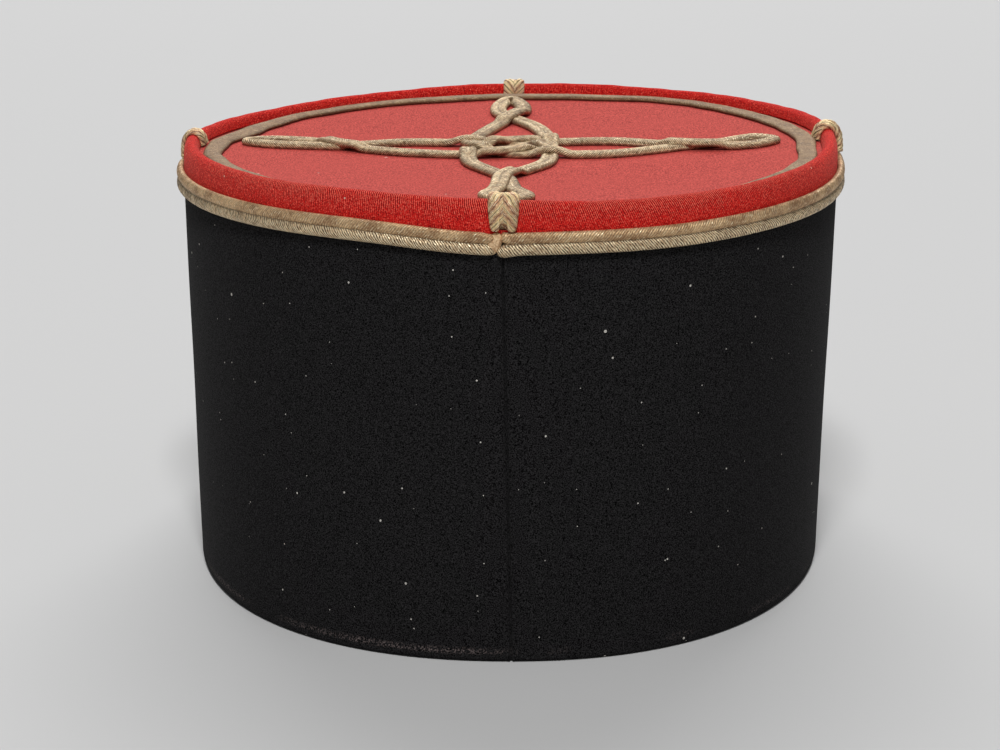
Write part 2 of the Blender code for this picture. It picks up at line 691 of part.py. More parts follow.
def strap_height(across):
    """Height of the strap's middle, which rises from the front to its two buttons."""
    return STRAP_HEIGHT + STRAP_SIDE_RISE * across ** 2


def make_chin_strap():
    """False strap that lies on the wall across the front, with pointed ends past the buttons."""
    across = np.linspace(-1, 1, STRAP_COLUMNS)[None, :]
    angles = FRONT + across * STRAP_HALF_SPAN
    taper = np.clip((1 - np.abs(across)) * STRAP_TAPER, STRAP_END_SHARE, 1)
    aside = np.array([-0.5, 0.0, 0.5])[:, None] * taper * STRAP_WIDTH
    height = strap_height(across) + aside
    share = wall_share(angles, height)
    grid = crown_points(angles, share, STRAP_CLEARANCE)
    mesh = grid_mesh("chin_strap", grid)
    face_sheet(mesh, outward_from_axis)
    part = add_part("chin_strap", mesh, "black_leather")
    add_solidify(part, STRAP_THICKNESS, 1)


def make_button(name, side):
    """Domed button turned about its own axis and set square on the strap."""
    mesh = bpy.data.meshes.new(name)
    radius = column(BUTTON_PROFILE, "radius") * BUTTON_RADIUS
    height = column(BUTTON_PROFILE, "height") * BUTTON_HEIGHT
    profile = [(r, 0.0, h) for r, h in zip(radius, height)]
    mesh.from_pydata(profile, [(i, i + 1) for i in range(len(profile) - 1)], [])
    button = add_part(name, mesh, "brass", smooth_angle=60)
    screw = button.modifiers.new("turned", "SCREW")
    screw.steps = BUTTON_SIDES
    screw.render_steps = BUTTON_SIDES
    screw.use_merge_vertices = True
    screw.merge_threshold = 0.00001
    angle = FRONT + side * BUTTON_HALF_SPAN
    height = strap_height(BUTTON_HALF_SPAN / STRAP_HALF_SPAN)
    share = wall_share(angle, height)
    here = crown_points(angle, share)
    along = crown_points(angle + 0.01, share) - crown_points(angle - 0.01, share)
    upward = crown_points(angle, share + 0.01) - here
    facing = np.cross(along, upward)
    facing /= np.linalg.norm(facing)
    button.location = Vector(here + facing * (STRAP_CLEARANCE + GAP + STRAP_THICKNESS))
    button.rotation_mode = "QUATERNION"
    button.rotation_quaternion = Vector(facing).to_track_quat("Z", "Y")


def centre_on_floor(axis):
    """Move the hat's axis so that the origin is under the middle of the whole hat."""
    bpy.context.view_layer.update()
    graph = bpy.context.evaluated_depsgraph_get()
    low = []
    high = []
    for part in bpy.data.collections[OBJECT_NAME].objects:
        if part.type != "MESH":
            continue
        solid = part.evaluated_get(graph)
        corners = np.array([part.matrix_world @ Vector(corner) for corner in solid.bound_box])
        low.append(corners.min(axis=0))
        high.append(corners.max(axis=0))
    middle = (np.min(low, axis=0) + np.max(high, axis=0)) / 2
    axis.location = (-middle[0], -middle[1], 0.0)


def main():
    for old in list(bpy.data.objects):
        bpy.data.objects.remove(old, do_unlink=True)
    collection = bpy.data.collections.new(OBJECT_NAME)
    bpy.context.scene.collection.children.link(collection)
    axis = bpy.data.objects.new(OBJECT_NAME + "_axis", None)
    collection.objects.link(axis)
    for row in MATERIALS:
        make_material(row)
    make_crown_wall()
    make_crown_rim()
    make_crown_top()
    make_band_braid()
    make_ring_braid()
    for row in UPRIGHTS:
        make_upright_braid(row)
    make_knot_braid()
    make_peak()
    make_chin_strap()
    make_button("button_left", 1)
    make_button("button_right", -1)
    centre_on_floor(axis)


main()
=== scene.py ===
"""Looks of a kepi seen from behind and a little above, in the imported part's own frame.

A black wool wall, a red twill band rolled over its edge, a faded red top and tarnished gilt soutache.
Lengths are metres. +Z is up, the peak points along -Y and the back seam faces +Y. Plan shapes are
superellipses about the hat's own upright axis. A place on the crown is its angle in plan (0 at +X,
90 degrees at the back), its share of the way up the wall, how far it stands out from the wall and how
high it lies above the wall's top line.
"""
import functools
import math

import bpy
import numpy as np
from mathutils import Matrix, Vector


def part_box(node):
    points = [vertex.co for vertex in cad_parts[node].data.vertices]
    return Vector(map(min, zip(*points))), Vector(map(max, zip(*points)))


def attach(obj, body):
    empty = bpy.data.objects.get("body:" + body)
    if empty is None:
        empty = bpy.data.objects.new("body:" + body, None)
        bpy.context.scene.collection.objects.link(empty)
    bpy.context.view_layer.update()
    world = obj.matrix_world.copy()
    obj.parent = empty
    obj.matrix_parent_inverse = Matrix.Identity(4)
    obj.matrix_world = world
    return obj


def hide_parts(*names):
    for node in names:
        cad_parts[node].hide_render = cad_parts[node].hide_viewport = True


def table(columns, *rows):
    """Rows of a table, each as a dict of the columns that the first text names."""
    return [dict(zip(columns.split(), row)) for row in rows]


MM = 0.001
REAR = math.pi / 2
FRONT = 3 * math.pi / 2
FULL_TURN = 2 * math.pi

# Step of an angle or a share that gives a direction on the wall, and steps of a curve between two places
NUDGE = 0.01
CURVE_STEPS = 40

# Cloth wall: outside lengths from the hat's axis, at the floor and at the top line
BASE_HALF_WIDTH = 0.0826
BASE_REAR = 0.0945
BASE_FRONT = 0.1060
TOP_HALF_WIDTH = 0.0855
TOP_REAR = 0.0929
TOP_FRONT = 0.0844
WALL_HEIGHT_REAR = 0.1061
WALL_HEIGHT_FRONT = 0.0931
SIDE_LEAN = 0.0012
WALL_THICKNESS = 0.0024
WALL_LAP = 0.0030
WALL_SAMPLES = 480
WALL_ROWS = 70
WALL_INSIDE_STEP = 5
HEM_SAMPLES = 12

# Back seam: where it meets the top line and the floor, to the side of the axis
SEAM_TOP_SIDE = 0.0002
SEAM_BASE_SIDE = -0.0020
SEAM_WIDTH = 0.0006
SEAM_DEPTH = 0.0006
SEAM_RIDGE = 0.00020
SEAM_SPAN = math.radians(3)
SEAM_SAMPLES = 81

# Rubbed line above the hem: heights over which it fades in and out, and its worst stretch, as lengths round
# the wall from its left side
WORN_FROM = (0.0018, 0.0026)
WORN_TO = (0.0030, 0.0040)
WORN_MIDDLE = 0.116
WORN_REACH = 0.030

# Red band with its rolled edge, and the sunk top inside it
RIM_HEIGHT = 0.0122
RIM_ROLL = 0.0042
RIM_SWAY = 0.6
RIM_SAMPLES = 900
RIM_OUTLINE_SAMPLES = 52
TOP_SINK = 0.0032
TOP_DISH = 0.0012
TOP_THICKNESS = 0.0020
TOP_CLEARANCE = 0.0005
TOP_SAMPLES = 260
TOP_RINGS = 70
TOP_INNERMOST = 0.01
TOP_UNDER_STEP = 7

# Twill ribs of the red band. The stretches are in millimetres round from the left side: over the first the
# ribs start to lean and over the second they rise again. They show best over the back, and fade beside it.
# The pitch is finer than on the real cloth, whose ribs measure about 0.7 mm in the photograph.
RIB_PITCH = 0.00054
RIB_LEANS = (110.0, 170.0)
RIB_RISES = (300.0, 500.0)
RIB_BACK = 140.0
RIB_FADES = (60.0, 130.0)

# Gaps that the solids leave between pieces, and that the braids leave above what carries them
CAD_GAP = 0.0003
REST_GAP = 0.0001

# Wide braid on the wall: its sag beside the seam, then how its two ends start, stop and curl
BAND_HEIGHT = 0.0057
BAND_STAND = 0.0018
BAND_DIP = 0.0011
BAND_DIP_SIDE = 0.006
BAND_DIP_REACH = 0.020
BAND_UPPER_START = -0.0003
BAND_LOWER_START = 0.0008
BAND_KNOB = 0.0005
BAND_KNOB_REACH = 0.0028
BAND_END_SHORT = 0.0030
BAND_CURL = 0.16
BAND_CURL_REACH = 0.0014
BAND_LOBE = 0.0012
BAND_PATH_SAMPLES = 1600
BAND_ROWS = 2400

# Its turned-under end: place and size, how far it stands out and starts inside in shares of the braid's
# stand, how much it leans and how its creases lie
FOLD_SIDE = 0.0023
FOLD_WIDTH = 0.0037
FOLD_HEIGHT = 0.0056
FOLD_STAND = 0.7
FOLD_SUNK = 0.2
FOLD_LEAN = 0.25
FOLD_CREASE = 0.10
FOLD_CREASE_PITCH = 0.0011
FOLD_LIFT = 0.49 * math.pi
FOLD_SAMPLES = 48
FOLD_ROWS = 30

# Flat soutache, and what every braid shares: its cords' section, the relief of its threads and its ends
SOUTACHE_WIDTH = 0.0046
SOUTACHE_THICKNESS = 0.0012
CORD_TUCK = math.radians(40)
CORD_SAMPLES = 13
RING_PATH_SAMPLES = 1200
RING_ROWS = 2600
BUNDLE_DEPTH = 0.00014
RELIEF_FROM = 0.25
END_ROUND = 0.0013
END_STEPS = (0.02, 0.08, 0.18, 0.32, 0.5, 0.75, 1.0)
END_LEAST_SCALE = 0.06

# Upright braids: the two rounded lobes at the foot, the notch between them, and the end tucked on the top
UPRIGHT_LOBE = 0.0024
UPRIGHT_NOTCH = 0.0015
UPRIGHT_TAPER = 0.15
UPRIGHT_TAPER_REACH = 0.0045
UPRIGHT_TUCK = 0.0011
UPRIGHT_ROUTE_SAMPLES = 200
UPRIGHT_ROWS = 190

# Peak, false chin strap and its two buttons
PEAK_REACH = 0.042
PEAK_HALF_SPAN = math.radians(55)
PEAK_SEAM_HEIGHT = 0.0070
PEAK_SIDE_RISE = 0.0040
PEAK_DROP = 0.0030
PEAK_THICKNESS = 0.0024
PEAK_CLEARANCE = 0.0007
PEAK_BEAD_INSET = 0.0016
PEAK_BEAD_HEIGHT = 0.0004
PEAK_ROUNDNESS = 2.1
PEAK_FULLNESS = 0.62
PEAK_DROOP = 1.4
PEAK_ROWS = 181
PEAK_COLUMNS = 40
PEAK_EDGE_SAMPLES = 12
PEAK_UNDER_STEP = 3
STRAP_WIDTH = 0.0090
STRAP_THICKNESS = 0.0014
STRAP_HEIGHT = 0.0150
STRAP_SIDE_RISE = 0.0060
STRAP_HALF_SPAN = math.radians(72)
STRAP_END = 0.045
STRAP_CREASE_SIDE = 0.36
STRAP_CREASE_DEPTH = 0.0003
STRAP_CREASE_WIDTH = 0.0004
STRAP_ROWS = 321
STRAP_EDGE_SAMPLES = 9
STRAP_FLAT_SAMPLES = 31
BUTTON_HALF_SPAN = math.radians(66)
BUTTON_RADIUS = 0.0065
BUTTON_HEIGHT = 0.0040
BUTTON_SIDES = 72
BUTTON_ROWS = 40

# Roundness of each quarter of the plan: 2 is an ellipse and more is squarer
QUARTERS = ("rear_left", "rear_right", "front_right", "front_left")
BASE_ROUNDNESS = dict(rear_left=2.18, rear_right=2.15, front_right=2.2, front_left=2.2)
TOP_ROUNDNESS = dict(rear_left=1.93, rear_right=2.37, front_right=2.0, front_left=1.7)

# Outside of the red band: inset as a share of the roll, and height as a share of the band above its lower
# edge
RIM_OUTLINE = table(
    "inset height",
    (0.00, 0.00),
    (0.01, 0.33),
    (0.02, 0.56),
    (0.10, 0.83),
    (0.26, 0.96),
    (0.50, 1.00),
    (0.74, 0.96),
    (0.90, 0.85),
)

# Braid on the top, by degrees round the crown: how far its outer edge drifts in from the band and how
# wide it is, both in braid widths
RING_COURSE = table(
    "degrees drift width",
    (0, 0.30, 1.25),
    (12, 0.08, 1.05),
    (76, 0.00, 1.00),
    (84, 0.58, 1.00),
    (96, 0.58, 1.00),
    (104, 0.00, 1.00),
    (162, 0.00, 1.00),
    (174, 0.20, 1.12),
    (200, 0.50, 1.20),
    (212, 0.50, 1.15),
    (224, 0.22, 1.10),
    (233, 0.00, 1.05),
    (239, 0.00, 1.00),
    (252, 0.50, 1.00),
    (264, 0.66, 1.00),
    (276, 0.50, 1.00),
    (288, 0.40, 1.00),
    (300, 0.00, 1.00),
    (320, 0.05, 1.10),
    (332, 0.35, 1.30),
    (341, 0.55, 1.50),
)

# Upright braids: where each stands, its width in shares of the flat soutache's and how thick it is
UPRIGHTS = table(
    "name degrees width thickness",
    ("rear_braid", 90.0, 1.68, 0.0020),
    ("front_braid", 270.35, 1.28, 0.0013),
    ("left_braid", -3.2, 1.30, 0.0013),
    ("right_braid", 182.0, 1.30, 0.0020),
)

# Middle of the knot on the top, from the hat's axis
KNOT_HALF_WIDTH = 0.0106
KNOT_HALF_DEPTH = 0.0085
KNOT_REARWARD = 0.0043

# Knot on the top, a row for each arm. "at" values are shares of the way out to the braid round the top.
# "side" values are in braid widths, anticlockwise, first for the strand that runs out and then for the
# one that comes back.
KNOT_ARMS = (
    dict(arm="front", out=(0, -1), mouth_at=0.351, mouth_side=(-1.50, 1.20), eye_at=0.569, eye_side=0.05,
         near_at=0.664, near_side=(0.75, -0.52), far_at=0.807, far_side=(0.84, -0.52),
         tip_at=0.924, tip_side=0.20),
    dict(arm="right", out=(-1, 0), mouth_at=0.354, mouth_side=(-2.75, 0.90), eye_at=0.603, eye_side=-1.00,
         near_at=0.728, near_side=(-0.20, -1.40), far_at=0.843, far_side=(0.95, -1.05),
         tip_at=0.900, tip_side=0.05),
    dict(arm="rear", out=(0, 1), mouth_at=0.297, mouth_side=(-2.05, 2.05), eye_at=0.549, eye_side=-0.10,
         near_at=0.752, near_side=(0.46, -0.42), far_at=0.868, far_side=(1.10, -0.95),
         tip_at=0.928, tip_side=0.00),
    dict(arm="left", out=(1, 0), mouth_at=0.354, mouth_side=(-1.15, 2.10), eye_at=0.583, eye_side=0.25,
         near_at=0.666, near_side=(0.20, -1.10), far_at=0.832, far_side=(-0.20, -1.60),
         tip_at=0.900, tip_side=-1.00),
)
# Places of the strand that joins one arm to the next, in half sizes of the knot's middle
KNOT_MIDDLE = table(
    "out side",
    (0.35, 0.98),
    (-0.45, 0.52),
    (-0.97, -0.30),
)

# How the knot's cord runs: its first arm, its samples, how high it climbs over itself and over what ramps,
# and how it narrows in tight bends. Lengths without a unit are in braid widths.
KNOT_FIRST = "rear"
KNOT_STEPS = 1800
KNOT_ROWS = 3200
KNOT_CLIMB = 0.0010
KNOT_LIFT_RAMP = 0.65
KNOT_LIFT_REACH = 4.8
KNOT_LIFT_ROUNDS = 4
KNOT_LIFT_SHARE = 0.36
KNOT_LIFT_FADE = 0.35
KNOT_LIFT_BLUR = 0.45
KNOT_THICKNESS = 0.0016
KNOT_PINCH = 0.86
KNOT_PINCH_REACH = 0.60

# Sags of the wall's top line at the back: how far to the side of the seam, how deep and how wide
LINE_SAGS = table(
    "side depth reach",
    (-0.033, 0.0017, 0.040),
    (0.038, -0.0005, 0.026),
)

# Unevenness round the crown: waves in a full turn, size in millimetres and start
WALL_WAVES = table(
    "turns size start",
    (3, 0.16, 0.4),
    (5, 0.12, 2.1),
    (11, 0.05, 4.0),
)
RIM_WAVES = table(
    "turns size start",
    (4, 0.10, 1.2),
    (13, 0.07, 0.3),
    (37, 0.04, 2.6),
    (71, 0.025, 5.1),
)
DISC_WAVES = table(
    "turns size start",
    (2, 0.12, 0.7),
    (3, 0.10, 3.1),
    (7, 0.05, 1.9),
)
RING_WAVES = table(
    "turns size start",
    (23, 0.12, 0.9),
    (41, 0.09, 2.2),
)

# Turned button: radius and height shares, from the top of the dome down its outer side
BUTTON_PROFILE = table(
    "radius height",
    (0.02, 1.00),
    (0.36, 0.94),
    (0.66, 0.77),
    (0.84, 0.55),
    (0.87, 0.42),
    (0.96, 0.40),
    (1.00, 0.26),
    (0.96, 0.08),
    (0.84, 0.00),
)

# Gilt thread on each kind of braid, with lengths in millimetres. thread and bundle are pitches, slant is how
# much the threads lean and groove how deep the groove lies. parted is how dark the painted shade in the lines
# between bundles is and how deep they lie, pairs how strongly pale and dull bundles take turns, grain how
# strong the grain of wear is and even how softly its tones change. gaps is how dark the painted shade in the
# gaps between threads is on the lower and on the upper cord, lower how much the lower cord is painted
# brighter and given more painted glints, soiled how far beside the groove the painted shade and grime of the
# cord's outer edge start, rubbed where the painted glints start, ridges how high the threads stand and wander
# how far they stray. The deep colour is painted shade over tarnish and grime, and the glint colour a painted
# highlight over rubbed gilt.
GILT_THREADS = (
    dict(name="gilt_band", thread=0.72, bundle=1.44, slant=-0.75, groove=0.45, parted=0.04, pairs=0.03,
         grain=0.6, even=0.18, gaps=(1.0, 0.45), lower=0.50, soiled=5.0, rubbed=0.49,
         ridges=0.05, wander=0.7, pale="#eecb9d", dull="#b08a66", deep="#38261a", glint="#fff0cc"),
    dict(name="gilt_upright", thread=0.45, bundle=1.35, slant=0.85, groove=0.84, parted=0.90, pairs=0.22,
         grain=0.5, even=0.17, gaps=(0.15, 0.15), lower=0.0, soiled=6.0, rubbed=0.50,
         ridges=0.05, wander=0.4, pale="#ffe4ae", dull="#d2a07c", deep="#452c1f", glint="#fff2d2"),
    dict(name="gilt_flat", thread=0.60, bundle=1.20, slant=0.90, groove=0.80, parted=0.12, pairs=0.04,
         grain=0.9, even=0.28, gaps=(1.0, 1.0), lower=0.0, soiled=2.4, rubbed=0.49,
         ridges=0.03, wander=0.3, pale="#e9caa0", dull="#987c5e", deep="#322215", glint="#fff0c8"),
    dict(name="gilt_ring", thread=0.60, bundle=1.20, slant=0.90, groove=0.98, parted=0.10, pairs=0.04,
         grain=0.8, even=0.30, gaps=(0.60, 0.60), lower=0.0, soiled=2.0, rubbed=0.56,
         ridges=0.0, wander=0.9, pale="#a98b68", dull="#78604a", deep="#3c2b1e", glint="#d0b78e"),
)

# Camera on the photograph's side, turned about a point on the hat's axis
VIEW_AZIMUTH = math.radians(-0.94)
VIEW_ELEVATION = math.radians(16.85)
VIEW_DISTANCE = 1.0
VIEW_ORBIT_HEIGHT = 0.0580
VIEW_AIM_SIDE = 0.0026
VIEW_AIM_HEIGHT = 0.0447
VIEW_LENS_MM = 134.9
VIEW_SENSOR_MM = 36.0

# Soft square lights, and how strong the pale surroundings are
LIGHTS = table(
    "name place size power",
    ("key_above_camera", (0.0, 1.5, 2.25), 0.5, 40.0),
    ("broad_light_beyond", (0.0, -2.2, 2.0), 2.6, 68.0),
)
SURROUND_STRENGTH = 0.17
FLOOR_REACH = 12.0

# Blender's Mix node for colours: its settings, and the places of its two colours among its inputs
COLOUR_MIX = dict(output=2, data_type="RGBA")
MIX_FIRST = 6
MIX_SECOND = 7


def column(rows, key):
    """One named column of a table as an array."""
    return np.array([row[key] for row in rows], dtype=float)


def bell(distance, reach):
    """Bell shape: e to the power of minus (distance / reach) squared."""
    return np.exp(-((distance / reach) ** 2))


def ripple(waves, angles):
    """Unevenness round the crown in metres: the sum of size * sin(turns * angle + start)."""
    return MM * sum(row["size"] * np.sin(row["turns"] * angles + row["start"]) for row in waves)


def quarter_values(cosine, sine, by_quarter):
    """The value that belongs to each point's quarter of the plan."""
    rear = np.where(cosine >= 0, by_quarter["rear_left"], by_quarter["rear_right"])
    front = np.where(cosine < 0, by_quarter["front_right"], by_quarter["front_left"])
    return np.where(sine >= 0, rear, front)


def plan(angles, half_width, rear, front, roundness):
    """Superellipse: x is half_width * cos^(2/n) and y is length * sin^(2/n), signs kept."""
    cosine = np.cos(angles)
    sine = np.sin(angles)
    power = 2 / quarter_values(cosine, sine, roundness)
    length = np.where(sine >= 0, rear, front)
    x = half_width * np.sign(cosine) * np.abs(cosine) ** power
    y = length * np.sign(sine) * np.abs(sine) ** power
    return x, y


def wall_line(x, y):
    """Height of the wall's top line: a leaning plane that rises to the back, less the sags by the seam."""
    along = (y + TOP_FRONT) / (TOP_REAR + TOP_FRONT)
    rise = WALL_HEIGHT_REAR - WALL_HEIGHT_FRONT
    sag = sum(row["depth"] * bell(x - row["side"], row["reach"]) for row in LINE_SAGS)
    sag = sag * np.clip(y / TOP_REAR, 0, 1)
    return WALL_HEIGHT_FRONT + rise * along - SIDE_LEAN * x / TOP_HALF_WIDTH - sag


def crown_points(angles, share=1.0, out=0.0, above=0.0):
    """Points round the crown: the base plan blends to the top plan by share, and z is share * top line."""
    angles, share, out, above = np.broadcast_arrays(angles, share, out, above)
    roundness = {q: BASE_ROUNDNESS[q] + (TOP_ROUNDNESS[q] - BASE_ROUNDNESS[q]) * share for q in QUARTERS}
    half_width = BASE_HALF_WIDTH + (TOP_HALF_WIDTH - BASE_HALF_WIDTH) * share + out
    rear = BASE_REAR + (TOP_REAR - BASE_REAR) * share + out
    front = BASE_FRONT + (TOP_FRONT - BASE_FRONT) * share + out
    x, y = plan(angles, half_width, rear, front, roundness)
    return np.stack([x, y, share * wall_line(x, y) + above], axis=-1)


def once_round(samples):
    """Even angles once round, without the last, which is the first again."""
    return np.linspace(0, FULL_TURN, samples, endpoint=False)


def unit(vectors):
    """Vectors of length 1 in the same directions: each is divided by its length."""
    return vectors / np.linalg.norm(vectors, axis=-1, keepdims=True)


def lengths_along(points):
    """Length from the first point of a line to each of its points."""
    steps = np.linalg.norm(np.diff(points, axis=0), axis=-1)
    return np.append(0, np.cumsum(steps))


def lengths_round(points):
    """Length from the first point of a closed line to each of its points and back to the first."""
    return lengths_along(np.vstack([points, points[:1]]))


def smooth_curve(places, samples, closed=False):
    """Centripetal Catmull-Rom curve through the places, at even steps of its length, and that length."""
    if closed:
        chain = np.concatenate([places[-1:], places, places[:2]])
    else:
        first = 2 * places[:1] - places[1:2]
        last = 2 * places[-1:] - places[-2:-1]
        chain = np.concatenate([first, places, last])
    spans = len(chain) - 3
    before, here, after, beyond = (chain[shift:shift + spans, None] for shift in range(4))
    knots = [np.zeros((spans, 1, 1))]
    for start, end in ((before, here), (here, after), (after, beyond)):
        knots.append(knots[-1] + np.linalg.norm(end - start, axis=2, keepdims=True) ** 0.5)
    k0, k1, k2, k3 = knots
    k = k1 + (k2 - k1) * np.linspace(0, 1, CURVE_STEPS, endpoint=False)[None, :, None]
    a1 = ((k1 - k) * before + (k - k0) * here) / (k1 - k0)
    a2 = ((k2 - k) * here + (k - k1) * after) / (k2 - k1)
    a3 = ((k3 - k) * after + (k - k2) * beyond) / (k3 - k2)
    b1 = ((k2 - k) * a1 + (k - k0) * a2) / (k2 - k0)
    b2 = ((k3 - k) * a2 + (k - k1) * a3) / (k3 - k1)
    curve = (((k2 - k) * b1 + (k - k1) * b2) / (k2 - k1)).reshape(-1, places.shape[1])
    curve = np.vstack([curve, places[:1] if closed else places[-1:]])
    along = lengths_along(curve)
    even = np.linspace(0, along[-1], samples, endpoint=not closed)
    return np.column_stack([np.interp(even, along, axis) for axis in curve.T]), along[-1]


def ring_inset():
    """Inset of the middle of the braid round the top, where it lies against the band."""
    return RIM_ROLL + CAD_GAP + SOUTACHE_WIDTH / 2


def disc_height(x, y):
    """Height of the sunk top: below the roll's crest, dished in the middle, with a slight unevenness."""
    margin = ring_inset() + SOUTACHE_WIDTH / 2
    middle = (TOP_REAR - TOP_FRONT) / 2
    depth = (TOP_REAR + TOP_FRONT) / 2 - margin
    away = np.clip((x / (TOP_HALF_WIDTH - margin)) ** 2 + ((y - middle) / depth) ** 2, 0, 1)
    uneven = ripple(DISC_WAVES, np.arctan2(y, x)) * away * (1 - away) * 4
    return wall_line(x, y) + RIM_HEIGHT - TOP_SINK - TOP_DISH * (1 - away) + uneven


def band_dip(points):
    """How far the wide braid and what stands on it sag beside the back seam."""
    return BAND_DIP * bell(points[..., 0] - BAND_DIP_SIDE, BAND_DIP_REACH) * (points[..., 1] > 0)


def rim_outline():
    """Inset and height above the wall's top line of the band's outside, up over the roll and in."""
    start = WALL_LAP + CAD_GAP
    inset = column(RIM_OUTLINE, "inset") * RIM_ROLL
    height = start + column(RIM_OUTLINE, "height") * (RIM_HEIGHT - start)
    lip = RIM_HEIGHT - TOP_SINK + CAD_GAP
    return np.column_stack([np.append(inset, RIM_ROLL), np.append(height, lip)])


def grid_corners(values):
    """The four corners of each cell of a grid, in order round the cell."""
    return np.stack([values[:-1, :-1], values[:-1, 1:], values[1:, 1:], values[1:, :-1]], axis=2)


def grid_mesh(name, points, places, wrap_rows=False, cap_ends=False):
    """Closed mesh over a grid of points whose columns wrap round, with its faces turned outwards.

    places holds the UV of each point in millimetres, with one more column, and one more row where the
    rows wrap, so that the pattern runs on across the join."""
    rows, columns = points.shape[:2]
    index = np.arange(rows * columns).reshape(rows, columns)
    if wrap_rows:
        index = np.vstack([index, index[:1]])
    index = np.hstack([index, index[:, :1]])
    corners = grid_corners(index).reshape(-1, 4)
    corner_places = grid_corners(places).reshape(-1, 4, 2)
    flat = points.reshape(-1, 3)
    a, b, c, d = (flat[corners[:, k]] - flat.mean(axis=0) for k in range(4))
    volume = np.sum(a * np.cross(b, c)) + np.sum(a * np.cross(c, d))
    turn = 1 if volume > 0 else -1
    loops = [corners[:, ::turn].ravel()]
    loop_places = [corner_places[:, ::turn].reshape(-1, 2)]
    starts = [np.arange(len(corners)) * 4]
    if cap_ends:
        for row, way in ((0, -turn), (-1, turn)):
            starts.append([sum(len(part) for part in loops)])
            loops.append(index[row, :columns][::way])
            loop_places.append(places[row, :columns][::way])
    mesh = bpy.data.meshes.new(name)
    mesh.vertices.add(len(flat))
    mesh.vertices.foreach_set("co", (flat + HAT_AXIS).ravel())
    loops = np.concatenate(loops)
    starts = np.concatenate(starts)
    mesh.loops.add(len(loops))
    mesh.loops.foreach_set("vertex_index", loops)
    mesh.polygons.add(len(starts))
    mesh.polygons.foreach_set("loop_start", starts)
    uv = mesh.uv_layers.new(name="surface_mm")
    uv.data.foreach_set("uv", np.concatenate(loop_places).ravel())
    mesh.update(calc_edges=True)
    mesh.shade_smooth()
    return mesh


def grid_places(first, second):
    """UV grid in millimetres from the length along the rows and the length along the columns."""
    first, second = np.broadcast_arrays(first / MM, second / MM)
    return np.stack([first, second], axis=-1)


def add_piece(mesh, material, node=None):
    """Object named as its mesh that rides on the hat and, where a node is given, stands for that CAD node."""
    mesh.materials.append(material)
    piece = bpy.data.objects.new(mesh.name, mesh)
    bpy.context.scene.collection.objects.link(piece)
    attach(piece, "root")
    if node:
        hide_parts(node)


def linear(colour):
    """sRGB hex as linear RGBA: c / 12.92 up to 0.04045, and ((c + 0.055) / 1.055) ** 2.4 above."""
    c = np.array([int(colour[k:k + 2], 16) for k in (1, 3, 5)]) / 255
    return (*np.where(c <= 0.04045, c / 12.92, ((c + 0.055) / 1.055) ** 2.4).tolist(), 1.0)


def feed(node, inputs):
    """Feed a node's inputs: a socket is linked, sRGB hex is turned to linear and any other value is set."""
    for key, value in inputs.items():
        if isinstance(value, bpy.types.NodeSocket):
            node.id_data.links.new(value, node.inputs[key])
        else:
            node.inputs[key].default_value = linear(value) if isinstance(value, str) else value


def add_node(tree, kind, inputs=None, output=0, **settings):
    """Add a node with its settings, feed its inputs and return one of its outputs."""
    node = tree.nodes.new("ShaderNode" + kind)
    for key, value in settings.items():
        setattr(node, key, value)
    feed(node, inputs or {})
    return node.outputs[output]


def start_material(name, sockets):
    """New material, the function that adds a node to it, and its Principled shader with its sockets set."""
    material = bpy.data.materials.new(name)
    material.use_nodes = True
    shader = material.node_tree.nodes["Principled BSDF"]
    feed(shader, sockets)
    return material, functools.partial(add_node, material.node_tree), shader


def lint(add, strip, spacing_mm, size_mm, kept):
    """1 inside small flecks: near the middle of those cells whose random number is over kept."""
    cells = {"Vector": strip, "Scale": 1 / spacing_mm}
    near = add("TexVoronoi", cells, "Distance", voronoi_dimensions="2D")
    colour = add("TexVoronoi", cells, "Color", voronoi_dimensions="2D")
    number = add("SeparateColor", {"Color": colour}, "Red")
    share = add("SeparateColor", {"Color": colour}, "Green")
    size = add("MapRange", {
        "Value": share, "To Min": 0.4 * size_mm / spacing_mm, "To Max": size_mm / spacing_mm})
    near = add("Math", {0: near, 1: size}, operation="LESS_THAN")
    kept = add("Math", {0: number, 1: kept}, operation="GREATER_THAN")
    return add("Math", {0: near, 1: kept}, operation="MULTIPLY")


